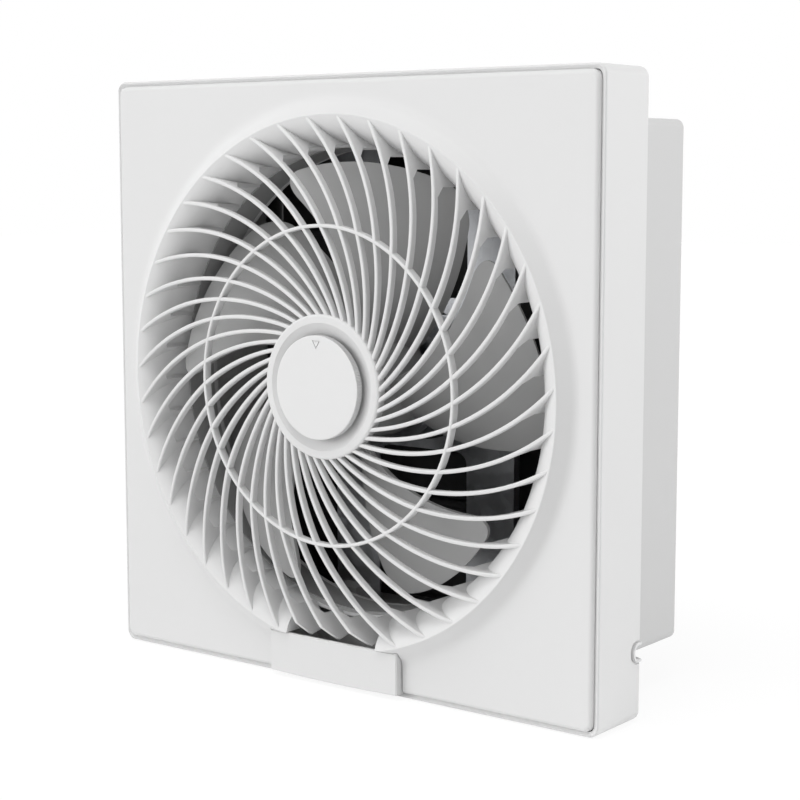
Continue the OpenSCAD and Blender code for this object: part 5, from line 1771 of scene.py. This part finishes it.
@dataclass
class Motor:
    """The motor with its bracket, shaft and capacitor."""

    rounded: tuple[Softened, ...] = (
        Softened("motor_front_shell", "front_shell", Coat.GALVANISED, 0.5),
        Softened("motor_rear_shell", "rear_shell", Coat.GALVANISED, 0.5),
        Softened("motor_bracket", "bracket_plate", Coat.GALVANISED, 0.35),
        Softened("motor_dampers", "rubber_dampers", Coat.RUBBER, 0.4),
        Softened("capacitor", "capacitor_can", Coat.CAPACITOR, 1.0, segments=3),
        Softened("spinner_nut", "spinner", Coat.BLACK, 0.4, "fan_rotor"),
        Softened("motor_bolts", "through_bolts", Coat.ZINC, 0.2),
        Softened("damper_nuts", "damper_hex_nuts", Coat.ZINC, 0.3),
    )
    clad: tuple[tuple[str, Coat], ...] = (
        ("impeller_insert", Coat.BRASS), ("drive_pin", Coat.BRIGHT), ("motor_shaft", Coat.BRIGHT),
        ("rotor", Coat.LAMINATION), ("thrust_washers", Coat.BRASS), ("front_bearing", Coat.BRONZE),
        ("rear_bearing", Coat.BRONZE), ("stator_core", Coat.LAMINATION), ("stator_windings", Coat.COPPER),
    )

    def build(self) -> None:
        """Rounds the pressed pieces, and gives the turned and wound ones their finish."""
        for piece in self.rounded:
            piece.build()
        for node, coat in self.clad:
            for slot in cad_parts[node].material_slots:
                slot.material = coat.material
            LOG.info("%s keeps its shape and takes %s", node, coat.slot)


@dataclass
class Wiring:
    """The terminal box, the cord's clamp and the motor's lead.

    The lead leaves the box through its grommet, goes along a lane inside the duct, bends at its
    shoulder and ends at the side of the motor.
    """

    lead_r: float = 2.95
    lead_sides: int = 20
    bend: float = 5.0
    bend_steps: int = 6
    box: Flat = (128.0, -127.0)
    box_out: float = 120.0
    lane_x: float = 57.0
    lane_y: float = 42.0
    lane_z: float = -144.2
    lane_in: float = 28.0
    grommet: float = 8.0
    shoulder: float = 41.8
    motor: float = 26.8
    first_side: Point = (0.31, 0.55, 0.77)
    rounded: tuple[Softened, ...] = (
        # The clip saddles, the terminal case and cover, and the clamp saddle take the same darker white,
        # which is painted shade.
        Softened("lead_clips", "clip_saddles", Coat.INNER, 0.25),
        Softened("lead_grommet", "grommet", Coat.RUBBER, 0.4),
        Softened("terminal_box", "terminal_case", Coat.INNER, 0.5),
        Softened("terminal_lid", "terminal_cover", Coat.INNER, 0.4),
        Softened("terminal_block", "terminal_strip", Coat.TERMINAL, 0.3),
        Softened("cord_clamp", "clamp_saddle", Coat.INNER, 0.5),
        Softened("clamp_screws", "clamp_screw_pair", Coat.ZINC, 0.15),
        Softened("panel_catches", "catch_springs", Coat.SPRING, 0.15),
    )

    def route(self) -> list[Vector]:
        """Lays the middle of the lead, from the terminal box to the side of the motor.

        Returns:
            The points.
        """
        box_x, box_z = self.box
        corners = [(box_x, -self.grommet, box_z), (box_x, self.grommet, box_z),
                   (box_x, self.lane_in, self.lane_z), (self.box_out, self.lane_y, self.lane_z),
                   (self.lane_x, self.lane_y, self.lane_z), (self.lane_x, self.lane_y, -self.lane_x),
                   (self.shoulder, self.lane_y, -self.shoulder), (self.motor, self.lane_y, -self.motor)]
        points = [Vector(corners[0])]
        for before, corner, after in zip(corners, corners[1:], corners[2:]):
            middle = Vector(corner)
            start = middle + (Vector(before) - middle).normalized() * self.bend
            stop = middle + (Vector(after) - middle).normalized() * self.bend
            for share in spread(0.0, 1.0, self.bend_steps):
                rest = 1 - share
                points.append(start * rest ** 2 + middle * 2 * share * rest + stop * share ** 2)
        return points + [Vector(corners[-1])]

    def lead(self) -> Shell:
        """Makes the lead's round sheath.

        Returns:
            The sheath's shell.
        """
        points = self.route()
        loops = []
        side = Vector(self.first_side)
        for i, point in enumerate(points):
            ahead = (points[min(i + 1, len(points) - 1)] - points[max(i - 1, 0)]).normalized()
            side = (side - ahead * side.dot(ahead)).normalized()
            other = ahead.cross(side)
            loops.append([tuple(point + (side * x + other * z))
                          for x, z in arc((0.0, 0.0), self.lead_r, 0.0, 360.0, self.lead_sides)[:-1]])
        return Shell().skin(loops, cap=True)

    def build(self) -> None:
        """Builds the wiring's pieces."""
        dress(self.lead().piece("lead_tube"), Coat.SHEATH, "housing", ["motor_lead"])
        for piece in self.rounded:
            piece.build()


@dataclass
class Shutter:
    """The gravity shutter at the outdoor end of the duct."""

    flaps: int = 5
    edge_round: float = 0.4

    def build(self) -> None:
        """Builds the frame, the flaps and the bar that links them."""
        Softened("shutter_frame", "louvre_frame", Coat.FLAP, self.edge_round).build()
        for number in range(1, self.flaps + 1):
            flap = Softened(f"shutter_flap_{number}", f"louvre_{number}", Coat.FLAP, self.edge_round,
                            f"flap_{number}", segments=3)
            flap.build()
        Softened("shutter_link", "link_bar", Coat.BLACK, self.edge_round, "link").build()


# ---------------------------------------------------------------- studio


@dataclass(frozen=True)
class Lamp:
    """One broad, soft lamp that shines from the start direction."""

    name: str
    energy: float
    start: Point
    softness: float = 40.0

    def build(self) -> None:
        """Hangs the lamp."""
        lamp = bpy.data.objects.new(self.name, bpy.data.lights.new(self.name, "SUN"))
        lamp.data.energy = self.energy
        lamp.data.angle = math.radians(self.softness)
        lamp.rotation_euler = (-Vector(self.start)).to_track_quat("-Z", "Y").to_euler()
        bpy.context.scene.collection.objects.link(lamp)


@dataclass
class Studio:
    """The camera, the pale floor, the lamps and the white surroundings.

    The camera's eye and near limit are in metres, the floor's sizes in millimetres.
    """

    eye: Point = (0.66067, -0.84572, 0.12012)
    gaze: Point = (-0.6044, 0.7872, -0.1231)
    lens: float = 82.60
    sensor: float = 36.0
    near: float = 0.01
    dome: float = 0.45
    floor_top: float = -175.6
    floor_t: float = 5.0
    floor_half: float = 6000.0
    floor_colour: Colour = grey(0.95)
    floor_glow: float = 1.02
    floor_share: float = 0.88
    lamps: tuple[Lamp, ...] = (Lamp("front_lamp", 1.24, (-0.9, -1.0, 0.3)),
                               Lamp("side_lamp", 1.7, (0.75, 0.65, 0.15)),
                               Lamp("top_lamp", 1.45, (0.0, -0.32, 0.95)))

    def camera(self) -> None:
        """Sets up the camera."""
        camera = bpy.data.objects.new("camera", bpy.data.cameras.new("camera"))
        camera.data.lens = self.lens
        camera.data.sensor_width = self.sensor
        camera.data.clip_start = self.near
        camera.location = self.eye
        camera.rotation_euler = Vector(self.gaze).to_track_quat("-Z", "Y").to_euler()
        bpy.context.scene.collection.objects.link(camera)
        bpy.context.scene.camera = camera

    def seen(self, net: Net) -> Wire:
        """Tells a ray that looks at the surroundings, straight or by a mirror, from light.

        Args:
            net: the tree of the material or of the world.

        Returns:
            1 for such a ray and 0 for light.
        """
        looks = [net.add("ShaderNodeLightPath", output=name)
                 for name in ("Is Camera Ray", "Is Glossy Ray", "Is Transmission Ray")]
        return net.maths("MAXIMUM", net.maths("MAXIMUM", looks[0], looks[1]), looks[2])

    def world(self) -> None:
        """Lights the scene by a pale dome that looks white."""
        world = bpy.data.worlds.new("studio")
        world.use_nodes = True
        net = Net(world.node_tree)
        light, white = [net.add("ShaderNodeBackground", inputs={"Color": WHITE, "Strength": strength})
                        for strength in (self.dome, 1.0)]
        both = net.add("ShaderNodeMixShader", inputs={0: self.seen(net), 1: light, 2: white})
        net.ends("ShaderNodeOutputWorld", {"Surface": both})
        bpy.context.scene.world = world

    def floor(self) -> None:
        """Lays the pale floor, which keeps a light shadow of the fan."""
        reach, top = self.floor_half, self.floor_top
        piece = Shell().block((-reach, -reach, top - self.floor_t), (reach, reach, top)).piece("floor")
        material = bpy.data.materials.new("pale_floor")
        material.use_nodes = True
        net = Net(material.node_tree)
        pale = net.add("ShaderNodeBsdfDiffuse", inputs={"Color": (*self.floor_colour, 1.0)})
        white = net.add("ShaderNodeEmission", inputs={"Color": WHITE, "Strength": self.floor_glow})
        share = self.seen(net) * self.floor_share
        both = net.add("ShaderNodeMixShader", inputs={0: share, 1: pale, 2: white})
        net.ends("ShaderNodeOutputMaterial", {"Surface": both})
        piece.data.materials.append(material)

    def build(self) -> None:
        """Builds the studio."""
        self.camera()
        self.world()
        self.floor()
        for lamp in self.lamps:
            lamp.build()
        bpy.context.scene.view_settings.view_transform = "Standard"


# ---------------------------------------------------------------- the whole fan


def main() -> None:
    """Builds the studio and every sub-assembly of the fan."""
    logging.basicConfig(level=logging.INFO, format="%(name)s: %(message)s")
    parts = (Studio(), Panel(), Grille(), Knob(), OilCup(), BodyFrame(), Duct(), Throat(), Impeller(),
             Fasteners(), Motor(), Wiring(), Shutter())
    for part in parts:
        part.build()


if __name__ == "__main__":
    main()
